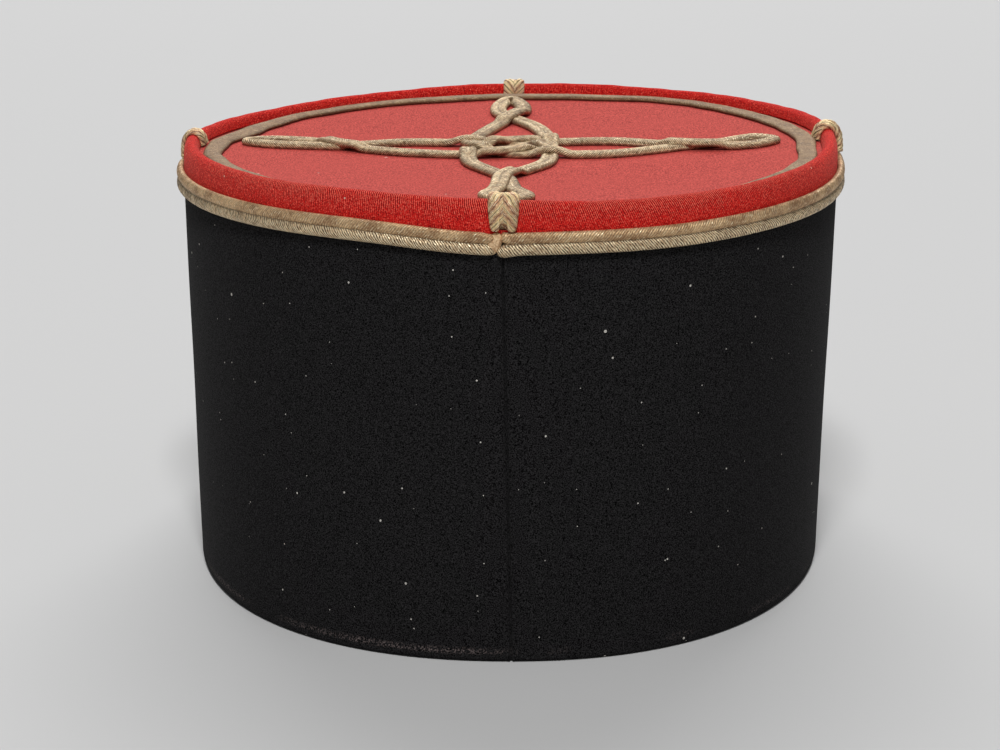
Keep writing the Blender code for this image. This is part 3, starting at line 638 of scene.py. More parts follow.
def make_black_wool():
    """Black napped broadcloth: matt and close, with a short fibre grain, pale lint and a rubbed hem."""
    material, add, shader = start_material("black_napped_wool", {
        "Roughness": 1.0, "Specular IOR Level": 0.03, "Sheen Weight": 0.03, "Sheen Roughness": 0.4})
    place = add("TexCoord", output="Object")
    strip = add("TexCoord", output="UV")
    # Fibre tufts of the milled nap, about 0.3 mm
    grain = add("TexNoise", {"Vector": place, "Scale": 1 / (0.29 * MM), "Detail": 1.0})
    grain_seen = add("MapRange", {"Value": grain, "From Min": 0.35, "From Max": 0.68})
    colour = add("Mix", {0: grain_seen, MIX_FIRST: "#020202", MIX_SECOND: "#313031"}, **COLOUR_MIX)
    # Worn pale fibres, most of them over a line 2 to 3 mm above the hem to the left of the back seam
    around = add("SeparateXYZ", {"Vector": strip}, "X")
    height = add("SeparateXYZ", {"Vector": place}, "Z")
    low = add("MapRange", {"Value": height, "From Min": WORN_TO[1], "From Max": WORN_TO[0]})
    above_hem = add("MapRange", {"Value": height, "From Min": WORN_FROM[0], "From Max": WORN_FROM[1]})
    low = add("Math", {0: low, 1: above_hem}, operation="MULTIPLY")
    patch = add("TexNoise", {"Vector": place, "Scale": 1 / (14 * MM), "Detail": 3.0})
    patch = add("MapRange", {"Value": patch, "From Min": 0.46, "From Max": 0.66, "To Max": 0.5})
    beside = add("Math", {0: around, 1: -WORN_MIDDLE / MM}, operation="ADD")
    beside = add("Math", {0: beside}, operation="ABSOLUTE")
    worn = add("MapRange", {
        "Value": beside, "From Min": WORN_REACH / MM, "From Max": WORN_REACH / MM / 2, "To Max": 0.6})
    patch = add("Math", {0: patch, 1: worn}, operation="MAXIMUM")
    fleck = add("TexNoise", {"Vector": place, "Scale": 1 / (0.45 * MM), "Detail": 1.0})
    fleck = add("MapRange", {"Value": fleck, "From Min": 0.50, "From Max": 0.66})
    rubbed = add("Math", {0: low, 1: patch}, operation="MULTIPLY")
    rubbed = add("Math", {0: rubbed, 1: fleck}, operation="MULTIPLY")
    colour = add("Mix", {0: rubbed, MIX_FIRST: colour, MIX_SECOND: "#8d7f7c"}, **COLOUR_MIX)
    for spacing, size, kept in ((8.0, 0.18, 0.80), (17.0, 0.30, 0.75), (28.0, 0.42, 0.70)):
        flecks = lint(add, strip, spacing, size, kept)
        colour = add("Mix", {0: flecks, MIX_FIRST: colour, MIX_SECOND: "#c8c4bd"}, **COLOUR_MIX)
    bump = add("Bump", {"Strength": 0.7, "Distance": 0.0002, "Height": grain})
    feed(shader, {"Base Color": colour, "Normal": bump})
    return material


def make_red_twill():
    """Red wool twill drawn over the padded roll: fine leaning ribs on the crest under a short worn nap."""
    material, add, shader = start_material("red_wool_twill", {
        "Roughness": 0.9, "Sheen Weight": 0.18, "Sheen Roughness": 0.4, "Sheen Tint": "#ff8a78",
        "Specular IOR Level": 0.2})
    place = add("TexCoord", output="Object")
    strip = add("TexCoord", output="UV")
    around = add("SeparateXYZ", {"Vector": strip}, "X")
    up = add("SeparateXYZ", {"Vector": strip}, "Y")
    # Twill ribs, upright left of the seam, leaning more and more right of it, and upright again by the
    # front
    lean = add("MapRange", {
        "Value": around, "From Min": RIB_LEANS[0], "From Max": RIB_LEANS[1], "To Min": 0.06, "To Max": 0.50})
    back = add("MapRange", {
        "Value": around, "From Min": RIB_RISES[0], "From Max": RIB_RISES[1], "To Max": 0.44})
    lean = add("Math", {0: lean, 1: back}, operation="SUBTRACT")
    run = add("Math", {0: up, 1: lean, 2: around}, operation="MULTIPLY_ADD")
    uneven = add("TexNoise", {"Vector": place, "Scale": 1 / (3 * MM), "Detail": 1.0})
    run = add("Math", {0: uneven, 1: 0.8, 2: run}, operation="MULTIPLY_ADD")
    ribs = add("Math", {0: run, 1: FULL_TURN * MM / RIB_PITCH}, operation="MULTIPLY")
    ribs = add("Math", {0: ribs}, operation="SINE")
    beside = add("Math", {0: around, 1: -RIB_BACK}, operation="ADD")
    beside = add("Math", {0: beside}, operation="ABSOLUTE")
    clear = add("MapRange", {
        "Value": beside, "From Min": RIB_FADES[0], "From Max": RIB_FADES[1], "To Min": 1.0, "To Max": 0.15})
    ribs = add("Math", {0: ribs, 1: clear}, operation="MULTIPLY")
    crest = add("MapRange", {"Value": up, "From Min": 3.0, "From Max": 8.5, "To Min": 0.2})
    wear = add("TexNoise", {"Vector": place, "Scale": 1 / (12 * MM)})
    wear = add("MapRange", {"Value": wear, "From Min": 0.30, "From Max": 0.48, "To Min": 0.45})
    crest = add("Math", {0: crest, 1: wear}, operation="MULTIPLY")
    ribs = add("Math", {0: ribs, 1: crest}, operation="MULTIPLY")
    # Nap of loose fibres, tufts of 0.36 mm that lie in clumps of about 1.5 mm
    tuft = add("TexNoise", {"Vector": place, "Scale": 1 / (0.36 * MM), "Detail": 1.0})
    clump = add("TexNoise", {"Vector": place, "Scale": 1 / (1.5 * MM), "Detail": 2.0})
    nap = add("Math", {0: clump, 1: 0.14, 2: tuft}, operation="MULTIPLY_ADD")
    tone = add("Math", {0: ribs, 1: 0.33, 2: nap}, operation="MULTIPLY_ADD")
    dark = add("MapRange", {"Value": tone, "From Min": 0.58, "From Max": 0.34})
    bright = add("MapRange", {"Value": tone, "From Min": 0.62, "From Max": 0.89})
    colour = add("Mix", {0: dark, MIX_FIRST: "#d81f19", MIX_SECOND: "#86080b"}, **COLOUR_MIX)
    colour = add("Mix", {0: bright, MIX_FIRST: colour, MIX_SECOND: "#ff7460"}, **COLOUR_MIX)
    flecks = lint(add, strip, 9.0, 0.28, 0.85)
    colour = add("Mix", {0: flecks, MIX_FIRST: colour, MIX_SECOND: "#e3b7a6"}, **COLOUR_MIX)
    bump = add("Bump", {"Strength": 0.9, "Distance": 0.00022, "Height": tone})
    feed(shader, {"Base Color": colour, "Normal": bump})
    return material


def make_faded_wool():
    """Red broadcloth of the top, faded and dusty: a dull pinkish red with a felted grain."""
    material, add, shader = start_material("faded_red_wool", {
        "Roughness": 0.95, "Sheen Weight": 0.25, "Sheen Roughness": 0.5, "Sheen Tint": "#ffc0b2",
        "Specular IOR Level": 0.2})
    place = add("TexCoord", output="Object")
    # Nap brushed from front to back, fibres 0.38 mm apart and two and a half times as long, and faded
    # patches of 2 cm
    nap = add("VectorMath", {0: place, 1: (1.0, 0.40, 1.0)}, operation="MULTIPLY")
    grain = add("TexNoise", {"Vector": nap, "Scale": 1 / (0.38 * MM), "Detail": 1.0})
    grain_seen = add("MapRange", {"Value": grain, "From Min": 0.34, "From Max": 0.66})
    patch = add("TexNoise", {"Vector": place, "Scale": 1 / (22 * MM), "Detail": 3.0})
    patch = add("MapRange", {"Value": patch, "From Min": 0.40, "From Max": 0.65, "To Max": 0.35})
    colour = add("Mix", {0: grain_seen, MIX_FIRST: "#9a1f1d", MIX_SECOND: "#dc534a"}, **COLOUR_MIX)
    colour = add("Mix", {0: patch, MIX_FIRST: colour, MIX_SECOND: "#c4423b"}, **COLOUR_MIX)
    strip = add("TexCoord", output="UV")
    flecks = lint(add, strip, 16.0, 0.45, 0.85)
    colour = add("Mix", {0: flecks, MIX_FIRST: colour, MIX_SECOND: "#ecccbd"}, **COLOUR_MIX)
    bump = add("Bump", {"Strength": 0.6, "Distance": 0.00015, "Height": grain})
    feed(shader, {"Base Color": colour, "Normal": bump})
    return material


def make_gilt_thread(row):
    """Tarnished gilt thread plaited over two cords: painted shade darkens its hollows, and it is pale gold
    where it is rubbed and where glints are painted.

    The threads lean the same way along both cords, so that they meet in arrows at the groove. Single
    threads are too fine to show, so the table's pitch is that of a coarser stroke."""
    material, add, shader = start_material(row["name"], {
        "Metallic": 0.5, "Specular IOR Level": 0.12})
    strip = add("TexCoord", output="UV")
    place = add("TexCoord", output="Object")
    along = add("SeparateXYZ", {"Vector": strip}, "X")
    across = add("SeparateXYZ", {"Vector": strip}, "Y")
    aside = add("Math", {0: across}, operation="ABSOLUTE")
    side = add("Math", {0: across}, operation="SIGN")
    run = add("Math", {0: aside, 1: row["slant"], 2: along}, operation="MULTIPLY_ADD")
    run = add("Math", {0: side, 1: row["bundle"] / 4, 2: run}, operation="MULTIPLY_ADD")
    wander = add("TexNoise", {"Vector": place, "Scale": 1 / (1.8 * MM), "Detail": 1.0})
    run = add("Math", {0: wander, 1: row["wander"], 2: run}, operation="MULTIPLY_ADD")
    thread = add("Math", {0: run, 1: FULL_TURN / row["thread"]}, operation="MULTIPLY")
    thread = add("Math", {0: thread}, operation="COSINE")
    bundle = add("Math", {0: run, 1: FULL_TURN / row["bundle"]}, operation="MULTIPLY")
    bundle = add("Math", {0: bundle}, operation="COSINE")
    pair = add("Math", {0: run, 1: math.pi / row["bundle"]}, operation="MULTIPLY")
    pair = add("Math", {0: pair}, operation="SINE")
    patch = add("TexNoise", {"Vector": place, "Scale": 1 / (5 * MM), "Detail": 3.0})
    grain = add("VectorMath", {0: place, 1: (1.0, 0.5, 1.0)}, operation="MULTIPLY")
    grain = add("TexNoise", {"Vector": grain, "Scale": 1 / (0.5 * MM), "Detail": 1.0})
    tone = add("Math", {0: pair, 1: row["pairs"], 2: patch}, operation="MULTIPLY_ADD")
    tone = add("Math", {0: grain, 1: row["grain"], 2: tone}, operation="MULTIPLY_ADD")
    middle = 0.5 + row["grain"] / 2
    tone = add("MapRange", {
        "Value": tone, "From Min": middle - row["even"], "From Max": middle + row["even"]})
    colour = add("Mix", {0: tone, MIX_FIRST: row["dull"], MIX_SECOND: row["pale"]}, **COLOUR_MIX)
    # Painted highlight: the lower cord of the wide braid, whose top catches the light, is painted brighter
    # than the upper one, over its ground and its glints
    painted_lower_highlight = add("Math", {0: side, 1: -row["lower"] / 2}, operation="MULTIPLY")
    painted_lower_highlight = add("MapRange", {"Value": painted_lower_highlight})
    colour = add("Mix", {0: painted_lower_highlight, MIX_FIRST: colour, MIX_SECOND: row["glint"]}, **COLOUR_MIX)
    parted = add("MapRange", {"Value": bundle, "From Min": -0.2, "From Max": -1.0, "To Max": row["parted"]})
    speck = add("CombineXYZ", {"X": run, "Y": aside})
    speck = add("VectorMath", {0: speck, 1: (1.7 / row["thread"], 1.1, 1.0)}, operation="MULTIPLY")
    speck = add("TexNoise", {"Vector": speck, "Scale": 1.0, "Detail": 2.0})
    # Painted shade over the tarnish in the gaps between bundles and between threads, filled where the surface
    # is rubbed
    filled = add("MapRange", {"Value": speck, "From Min": 0.62, "From Max": 0.42, "To Min": 0.25})
    parted = add("Math", {0: parted, 1: filled}, operation="MULTIPLY")
    thread_gap_shade = add("MapRange", {"Value": thread, "From Min": 0.3, "From Max": -0.8})
    thread_gap_shade = add("Math", {0: thread_gap_shade, 1: filled}, operation="MULTIPLY")
    deepest = add("MapRange", {
        "Value": side, "From Min": -1.0, "To Min": row["gaps"][0], "To Max": row["gaps"][1]})
    thread_gap_shade = add("Math", {0: thread_gap_shade, 1: deepest}, operation="MULTIPLY")
    painted_hollow_shade = add("Math", {0: parted, 1: thread_gap_shade}, operation="MAXIMUM")
    # Painted shade, with some grime, darkens each cord toward its outer edge, and painted shade lies in the
    # groove between the cords; all of it goes to the deep colour
    edge_grime_and_shade = add("MapRange", {
        "Value": aside, "From Min": row["soiled"], "From Max": row["soiled"] + 1.0, "To Max": 0.6})
    painted_hollow_shade = add("Math", {0: painted_hollow_shade, 1: edge_grime_and_shade}, operation="MAXIMUM")
    groove = add("MapRange", {"Value": aside, "From Min": 0.50, "From Max": 0.15, "To Max": 0.85})
    stitch = add("MapRange", {"Value": bundle, "From Min": 0.9, "From Max": -0.2, "To Min": 0.35})
    groove = add("Math", {0: groove, 1: stitch}, operation="MULTIPLY")
    groove = add("Math", {0: groove, 1: 1.4 * (1 - row["groove"])}, operation="MULTIPLY")
    painted_hollow_shade = add("Math", {0: painted_hollow_shade, 1: groove}, operation="MAXIMUM")
    colour = add("Mix", {0: painted_hollow_shade, MIX_FIRST: colour, MIX_SECOND: row["deep"]}, **COLOUR_MIX)
    # Painted glints on the crowns of single threads: short pale streaks, a painted highlight that also stands
    # for rubbed gilt
    painted_glint = add("Math", {0: side, 1: -row["lower"] / 9, 2: speck}, operation="MULTIPLY_ADD")
    painted_glint = add("MapRange", {
        "Value": painted_glint, "From Min": row["rubbed"], "From Max": row["rubbed"] + 0.12, "To Max": 0.9})
    crown = add("MapRange", {"Value": thread, "From Min": -0.3, "From Max": 0.7})
    painted_glint = add("Math", {0: painted_glint, 1: crown}, operation="MULTIPLY")
    colour = add("Mix", {0: painted_glint, MIX_FIRST: colour, MIX_SECOND: row["glint"]}, **COLOUR_MIX)
    polish = add("MapRange", {"Value": painted_glint, "To Min": 0.52, "To Max": 0.32})
    height = add("Math", {0: thread, 1: 0.5, 2: grain}, operation="MULTIPLY_ADD")
    bump = add("Bump", {"Strength": 0.8, "Distance": 0.00013, "Height": height})
    feed(shader, {"Base Color": colour, "Roughness": polish, "Normal": bump})
    return material


def make_braid_lining():
    """Tan cotton of a braid's turned-under end: matt, with fine creases."""
    material, add, shader = start_material("faded_cotton_lining", {"Roughness": 0.9})
    place = add("TexCoord", output="Object")
    weave = add("TexNoise", {"Vector": place, "Scale": 1 / (0.5 * MM), "Detail": 3.0})
    weave = add("MapRange", {"Value": weave, "From Min": 0.35, "From Max": 0.65})
    colour = add("Mix", {0: weave, MIX_FIRST: "#b98f68", MIX_SECOND: "#efcfa4"}, **COLOUR_MIX)
    feed(shader, {"Base Color": colour})
    return material


def make_patent_leather():
    """Black patent leather of the peak and strap: a smooth lacquer over a faint grain."""
    material, add, shader = start_material("black_patent_leather", {
        "Roughness": 0.35, "Coat Weight": 0.7, "Coat Roughness": 0.12})
    place = add("TexCoord", output="Object")
    patch = add("TexNoise", {"Vector": place, "Scale": 1 / (8 * MM), "Detail": 3.0})
    colour = add("Mix", {0: patch, MIX_FIRST: "#0b0a0a", MIX_SECOND: "#191614"}, **COLOUR_MIX)
    grain = add("TexNoise", {"Vector": place, "Scale": 1 / (0.7 * MM), "Detail": 2.0})
    bump = add("Bump", {"Strength": 0.25, "Distance": 0.0001, "Height": grain})
    feed(shader, {"Base Color": colour, "Normal": bump})
    return material


def make_aged_brass():
    """Stamped brass gone dull: warm yellow metal, browner in patches and a little rough."""
    material, add, shader = start_material("aged_brass", {"Metallic": 1.0})
    place = add("TexCoord", output="Object")
    patch = add("TexNoise", {"Vector": place, "Scale": 1 / (1.6 * MM), "Detail": 4.0})
    brown = add("MapRange", {"Value": patch, "From Min": 0.35, "From Max": 0.70})
    colour = add("Mix", {0: brown, MIX_FIRST: "#b88f45", MIX_SECOND: "#7b5a30"}, **COLOUR_MIX)
    dull = add("MapRange", {
        "Value": patch, "From Min": 0.30, "From Max": 0.70, "To Min": 0.25, "To Max": 0.50})
    feed(shader, {"Base Color": colour, "Roughness": dull})
    return material


def make_paper_floor():
    """Seamless pale grey studio paper: smooth and matt."""
    return start_material("studio_paper", {
        "Roughness": 1.0, "Specular IOR Level": 0.0, "Base Color": "#d2d2d2"})[0]


def make_crown_wall(material):
    """Outside of the wall from the top line to the floor, round its turned lower edge and up the inside.

    The back seam is a narrow valley between two low ridges that leans as it goes down."""
    beside = REAR + SEAM_SPAN * np.linspace(-1, 1, SEAM_SAMPLES)
    angles = np.unique(np.round(np.concatenate([once_round(WALL_SAMPLES), beside]), 7))[None, :]
    edge = WALL_THICKNESS / 2
    outer = np.linspace(1, edge / WALL_HEIGHT_FRONT, WALL_ROWS)
    turn = np.linspace(0, math.pi, HEM_SAMPLES)
    inner = outer[::-WALL_INSIDE_STEP]
    still = np.zeros_like
    share = np.concatenate([[1.0], outer, still(turn), inner, [1.0]])[:, None]
    under = -edge * (1 - np.cos(turn))
    out = np.concatenate([[0.0], still(outer), under, still(inner) - 2 * edge, [-2 * edge]])[:, None]
    hem = edge * (1 - np.sin(turn))
    above = np.concatenate([[WALL_LAP], still(outer), hem, still(inner), [WALL_LAP]])[:, None]
    plain = crown_points(angles, share, out, above)
    seam = SEAM_BASE_SIDE + (SEAM_TOP_SIDE - SEAM_BASE_SIDE) * share
    away = np.abs(plain[..., 0] - seam)
    valley = SEAM_DEPTH * bell(away, SEAM_WIDTH / 2) - SEAM_RIDGE * bell(away - SEAM_WIDTH, SEAM_WIDTH / 2)
    outside = (out > -edge) & (plain[..., 1] > 0)
    uneven = ripple(WALL_WAVES, angles + share) * share * (1 - share) * 4
    points = crown_points(angles, share, out + uneven - valley * outside, above)
    around = np.append(lengths_along(plain[1]), FULL_TURN * BASE_REAR)
    down = lengths_along(plain[:, 0])
    places = grid_places(around[None, :], np.append(down, down[-1] + WALL_THICKNESS)[:, None])
    mesh = grid_mesh("crown_wall_cloth", points, places, wrap_rows=True)
    add_piece(mesh, material, "crown_wall")


def make_crown_rim(material):
    """Red band: its outline carried round the crown, with the roll a little uneven."""
    angles = once_round(RIM_SAMPLES)[None, :]
    outline = smooth_curve(rim_outline(), RIM_OUTLINE_SAMPLES)[0]
    inside = [(WALL_THICKNESS, outline[-1, 1]), (WALL_THICKNESS, outline[0, 1])]
    section = np.vstack([outline, inside])
    inset = section[:, :1]
    height = section[:, 1:]
    raised = np.clip((height - WALL_LAP) / (RIM_HEIGHT - WALL_LAP), 0, 1) ** 2
    uneven = ripple(RIM_WAVES, angles) * raised
    points = crown_points(angles, 1.0, -inset + RIM_SWAY * uneven, height + uneven)
    around = lengths_along(crown_points(np.append(angles, FULL_TURN)))
    # A whole number of twill ribs, so that they meet at the join
    around *= round(around[-1] / RIB_PITCH) * RIB_PITCH / around[-1]
    places = grid_places(around[None, :], lengths_round(section)[:, None])
    mesh = grid_mesh("crown_rim_cloth", points, places, wrap_rows=True)
    add_piece(mesh, material, "crown_rim")


def make_crown_top(material):
    """Sunk top: rings that shrink from the edge to the middle on the dished height, and back below it."""
    edge = crown_points(once_round(TOP_SAMPLES), 1.0, -(WALL_THICKNESS + TOP_CLEARANCE))[:, :2]
    middle = np.array([0.0, (TOP_REAR - TOP_FRONT) / 2])
    outwards = np.linspace(TOP_INNERMOST, 1, TOP_RINGS)
    inwards = outwards[::-TOP_UNDER_STEP]
    shares = np.concatenate([outwards, inwards])[:, None, None]
    plan_points = middle + (edge - middle) * shares
    below = np.concatenate([0 * outwards, 0 * inwards + TOP_THICKNESS])[:, None]
    height = disc_height(plan_points[..., 0], plan_points[..., 1]) - below
    points = np.concatenate([plan_points, height[..., None]], axis=2)
    places = np.concatenate([plan_points, plan_points[:, :1]], axis=1) / MM
    mesh = grid_mesh("crown_top_cloth", points, places, cap_ends=True)
    add_piece(mesh, material, "crown_top")


def soutache_section(width, thickness, groove):
    """Outline of two cords side by side, as across and rise in metres and the length from the groove.

    Each cord is an arc from its tucked-in lower edge over the top to the groove: across is half the
    cord's width times (1 + cos), and rise is the sine, carried to run from 0 to the thickness."""
    turn = np.linspace(-CORD_TUCK, math.pi - math.asin(groove), CORD_SAMPLES)
    across = (0.5 + 0.5 * np.cos(turn)) * width / 2
    low = math.sin(CORD_TUCK)
    rise = (np.sin(turn) + low) / (1 + low) * thickness
    under = np.linspace(-1, 1, 4)[1:-1] * across[0]
    across = np.concatenate([-across, across[::-1], -under])
    rise = np.concatenate([rise, rise[::-1], 0 * under])
    length = lengths_along(np.column_stack([across, rise]))
    groove_at = length[CORD_SAMPLES - 1:CORD_SAMPLES + 1].mean()
    return across, rise, length - groove_at


def quarter_round(distance, reach):
    """Size of a section near its rounded end: a quarter circle of the given reach."""
    closeness = np.clip(1 - distance / reach, 0, 1)
    return np.maximum(np.sqrt(1 - closeness ** 2), END_LEAST_SCALE)


def lobe_reach(across, width, reach):
    """How much further each cord of the section reaches than the groove: a half circle over each cord."""
    aside = np.abs(across)
    inside = 2 * (aside - aside.min()) / (width / 2 - aside.min()) - 1
    return reach * np.sqrt(np.clip(1 - inside ** 2, 0, 1))


def braid_mesh(name, put, length, width, thickness, look, rows, closed=False, start=None, end=None):
    """Two-cord braid carried along a path, with the relief of its plaited bundles and threads.

    put(along, across, rise) gives the points. The relief is the sum of a cosine of run / bundle and a
    smaller one of run / thread, where run is along + slant * distance from the groove, so that it lies
    in herringbone, half a bundle apart on the two cords. start and end give, for each column of the
    section, how much further it reaches, and each column closes over a quarter circle."""
    across, rise, aside = soutache_section(width, thickness, look["groove"])
    bundle = look["bundle"] * MM
    stretch = 1.0
    if closed:
        # An even number of bundles, so that the pattern meets itself
        stretch = 2 * round(length / bundle / 2) * bundle / length
        along = np.arange(rows)[:, None] / rows * length
        full = 1.0
    else:
        near = END_ROUND / length * np.array(END_STEPS)
        share = np.unique(np.concatenate([np.linspace(0, 1, rows), near, 1 - near]))[:, None]
        before = start(across)[None, :]
        after = end(across)[None, :]
        along = share * (length + before + after) - before
        full = quarter_round(along + before, END_ROUND) * quarter_round(length + after - along, END_ROUND)
    low = RELIEF_FROM * thickness
    upper = np.clip((rise - low) / (thickness - low), 0, 1) ** 0.5
    run = along * stretch + look["slant"] * np.abs(aside) + np.sign(aside) * bundle / 4
    relief = look["parted"] * BUNDLE_DEPTH * (np.cos(FULL_TURN * run / bundle) - 1)
    relief = relief + look["ridges"] * MM * np.cos(FULL_TURN * run / (look["thread"] * MM))
    points = put(along, across + 0 * along, (rise + relief * upper) * full)
    seam = 2 * aside[-1:] - aside[-2:-1]
    aside = np.append(aside, seam)[None, :]
    along = along * np.ones((1, aside.shape[1] - 1))
    along = np.hstack([along, along[:, :1]])
    if closed:
        along = np.vstack([along, along[:1] + length])
    places = grid_places(along * stretch, aside)
    return grid_mesh(name, points, places, wrap_rows=closed, cap_ends=not closed)


def on_disc(x, y, above):
    """Points that lie the given height above the sunk top, just clear of it."""
    return np.stack([x, y, disc_height(x, y) + REST_GAP + above], axis=-1)


def ring_course(angles, key):
    """One column of the course table round the crown in metres, eased from each row to the next."""
    degrees = np.append(column(RING_COURSE, "degrees"), 360)
    values = np.append(column(RING_COURSE, key), RING_COURSE[0][key])
    turned = np.degrees(angles) % 360
    row = np.clip(np.searchsorted(degrees, turned, side="right") - 1, 0, len(degrees) - 2)
    part = (turned - degrees[row]) / (degrees[row + 1] - degrees[row])
    eased = part * part * (3 - 2 * part)
    return (values[row] + (values[row + 1] - values[row]) * eased) * SOUTACHE_WIDTH


def make_ring_braid(material, look):
    """Flat soutache laid round the top, close inside the band, a little wavy and wider at the corners."""
    angles = np.linspace(0, FULL_TURN, RING_PATH_SAMPLES)
    lengths = lengths_along(crown_points(angles, 1.0, -ring_inset()))

    def put(along, across, rise):
        angle = np.interp(along, lengths, angles)
        wide = ring_course(angle, "width")
        outer = RIM_ROLL + CAD_GAP + ring_course(angle, "drift") + ripple(RING_WAVES, angle)
        points = crown_points(angle, 1.0, -(outer + wide * (0.5 + across / SOUTACHE_WIDTH)))
        return on_disc(points[..., 0], points[..., 1], rise)

    mesh = braid_mesh("ring_soutache", put, lengths[-1], SOUTACHE_WIDTH, SOUTACHE_THICKNESS, look,
                      RING_ROWS, closed=True)
    add_piece(mesh, material, "ring_braid")


def make_band_braid(material, look):
    """Wide braid on the wall, from one side of the back seam round the crown to the other.

    Right of the seam its lower cord starts first. Left of it both cords stop short of the seam, and the
    upper one curls down as bell(distance from its end)."""
    angles = REAR + np.linspace(0, FULL_TURN, BAND_PATH_SAMPLES)
    lengths = lengths_along(crown_points(angles, 1.0, CAD_GAP))

    def put(along, across, rise):
        angle = REAR + np.interp(along, lengths, angles - REAR) + np.minimum(along, 0) / TOP_HALF_WIDTH
        curl = BAND_CURL * bell(lengths[-1] - BAND_END_SHORT - along, BAND_CURL_REACH) * (across > 0)
        points = crown_points(angle, 1.0, REST_GAP + rise, BAND_HEIGHT / 2 + across * (1 - curl))
        knob = BAND_KNOB * bell(along, BAND_KNOB_REACH) * (across < 0)
        points[..., 2] -= band_dip(points) + knob
        return points

    def start(across):
        further = np.where(across > 0, BAND_UPPER_START, BAND_LOWER_START)
        return further + lobe_reach(across, BAND_HEIGHT, BAND_LOBE)

    def end(across):
        return lobe_reach(across, BAND_HEIGHT, BAND_LOBE) - BAND_END_SHORT

    mesh = braid_mesh("band_soutache", put, lengths[-1], BAND_HEIGHT, BAND_STAND, look, BAND_ROWS,
                      start=start, end=end)
    add_piece(mesh, material, "band_braid")


def make_band_fold(material):
    """Turned-under end of the wide braid by the seam: a leaning ellipsoid with upright creases."""
    turn = once_round(FOLD_SAMPLES)[None, :]
    lift = np.linspace(-1, 1, FOLD_ROWS)[:, None] * FOLD_LIFT
    cosine = np.cos(lift)
    along = np.cos(turn) * cosine * FOLD_WIDTH / 2
    out = np.sin(turn) * cosine * BAND_STAND * FOLD_STAND
    out = out * (1 + FOLD_CREASE * np.cos(FULL_TURN * along / FOLD_CREASE_PITCH))
    up = np.sin(lift) * FOLD_HEIGHT / 2
    x = FOLD_SIDE + along - FOLD_LEAN * up
    angle = REAR - x / TOP_HALF_WIDTH
    stand = REST_GAP + BAND_STAND * FOLD_SUNK + np.maximum(out, 0)
    points = crown_points(angle, 1.0, stand, BAND_HEIGHT / 2 + up)
    points[..., 0] = x
    points[..., 2] -= band_dip(points)
    places = grid_places(np.append(turn, FULL_TURN)[None, :] * MM, lift * MM)
    mesh = grid_mesh("band_fold", points, places, cap_ends=True)
    add_piece(mesh, material)


def make_upright_braid(row, material, look):
    """Two cords that climb the red band and bend over the roll down to the sunk top.

    The route is the band's outline moved out by the gap, and rise goes along its outward direction."""
    angle = math.radians(row["degrees"])
    foot = crown_points(angle)
    tangent = unit(crown_points(angle + NUDGE)[:2] - crown_points(angle - NUDGE)[:2])
    outward = np.array([tangent[1], -tangent[0]])
    dip = band_dip(foot) if row["name"] == "rear_braid" else 0.0
    outline = smooth_curve(rim_outline(), UPRIGHT_ROUTE_SAMPLES)[0]
    route = outline[outline[:, 1] + outline[:, 0] > BAND_HEIGHT + CAD_GAP - dip]
    step = unit(np.gradient(route, axis=0))
    facing = np.column_stack([-step[:, 1], step[:, 0]])
    lengths = lengths_along(route)
    width = row["width"] * SOUTACHE_WIDTH

    def put(along, across, rise):
        inset, height, facing_in, facing_up = (
            np.interp(along, lengths, values) for values in (*route.T, *facing.T))
        inset = inset + facing_in * (rise + REST_GAP)
        above = height + facing_up * (rise + REST_GAP)
        across = across * (1 - UPRIGHT_TAPER * bell(along, UPRIGHT_TAPER_REACH))
        x = foot[0] + tangent[0] * across - outward[0] * inset
        y = foot[1] + tangent[1] * across - outward[1] * inset
        return np.stack([x, y, wall_line(x, y) + above], axis=-1)

    name = row["name"].replace("braid", "soutache")

    def start(across):
        return lobe_reach(across, width, UPRIGHT_LOBE) - UPRIGHT_NOTCH

    def end(across):
        return 0 * across + UPRIGHT_TUCK

    mesh = braid_mesh(name, put, lengths[-1], width, row["thickness"], look, UPRIGHT_ROWS,
                      start=start, end=end)
    add_piece(mesh, material, row["name"])


def knot_waypoints():
    """Places that the closed knot passes, arm by arm clockwise, from the tip of its first arm."""
    reach = dict(front=TOP_FRONT, right=TOP_HALF_WIDTH, rear=TOP_REAR, left=TOP_HALF_WIDTH)
    half = np.array([KNOT_HALF_WIDTH, KNOT_HALF_DEPTH])
    middle = np.array([0.0, KNOT_REARWARD])
    places = []
    for row in KNOT_ARMS:
        out = np.array(row["out"], dtype=float)
        side = np.array([-out[1], out[0]])
        length = reach[row["arm"]] - ring_inset() - SOUTACHE_WIDTH / 2

        def place(at, aside):
            return out * at * length + side * aside * SOUTACHE_WIDTH

        going = [
            middle + half * (out - side),
            place(row["mouth_at"], row["mouth_side"][0]),
            place(row["eye_at"], row["eye_side"]),
            place(row["near_at"], row["near_side"][0]),
            place(row["far_at"], row["far_side"][0]),
        ]
        coming = [
            place(row["far_at"], row["far_side"][1]),
            place(row["near_at"], row["near_side"][1]),
            place(row["eye_at"], row["eye_side"]),
            place(row["mouth_at"], row["mouth_side"][1]),
            middle + half * (out + side),
        ]
        if row["arm"] == KNOT_FIRST:
            first = len(places) + len(going)
        places += [*going, place(row["tip_at"], row["tip_side"]), *coming]
        places += [middle + half * (out * m["out"] + side * m["side"]) for m in KNOT_MIDDLE]
    return np.roll(np.array(places), -first, axis=0)


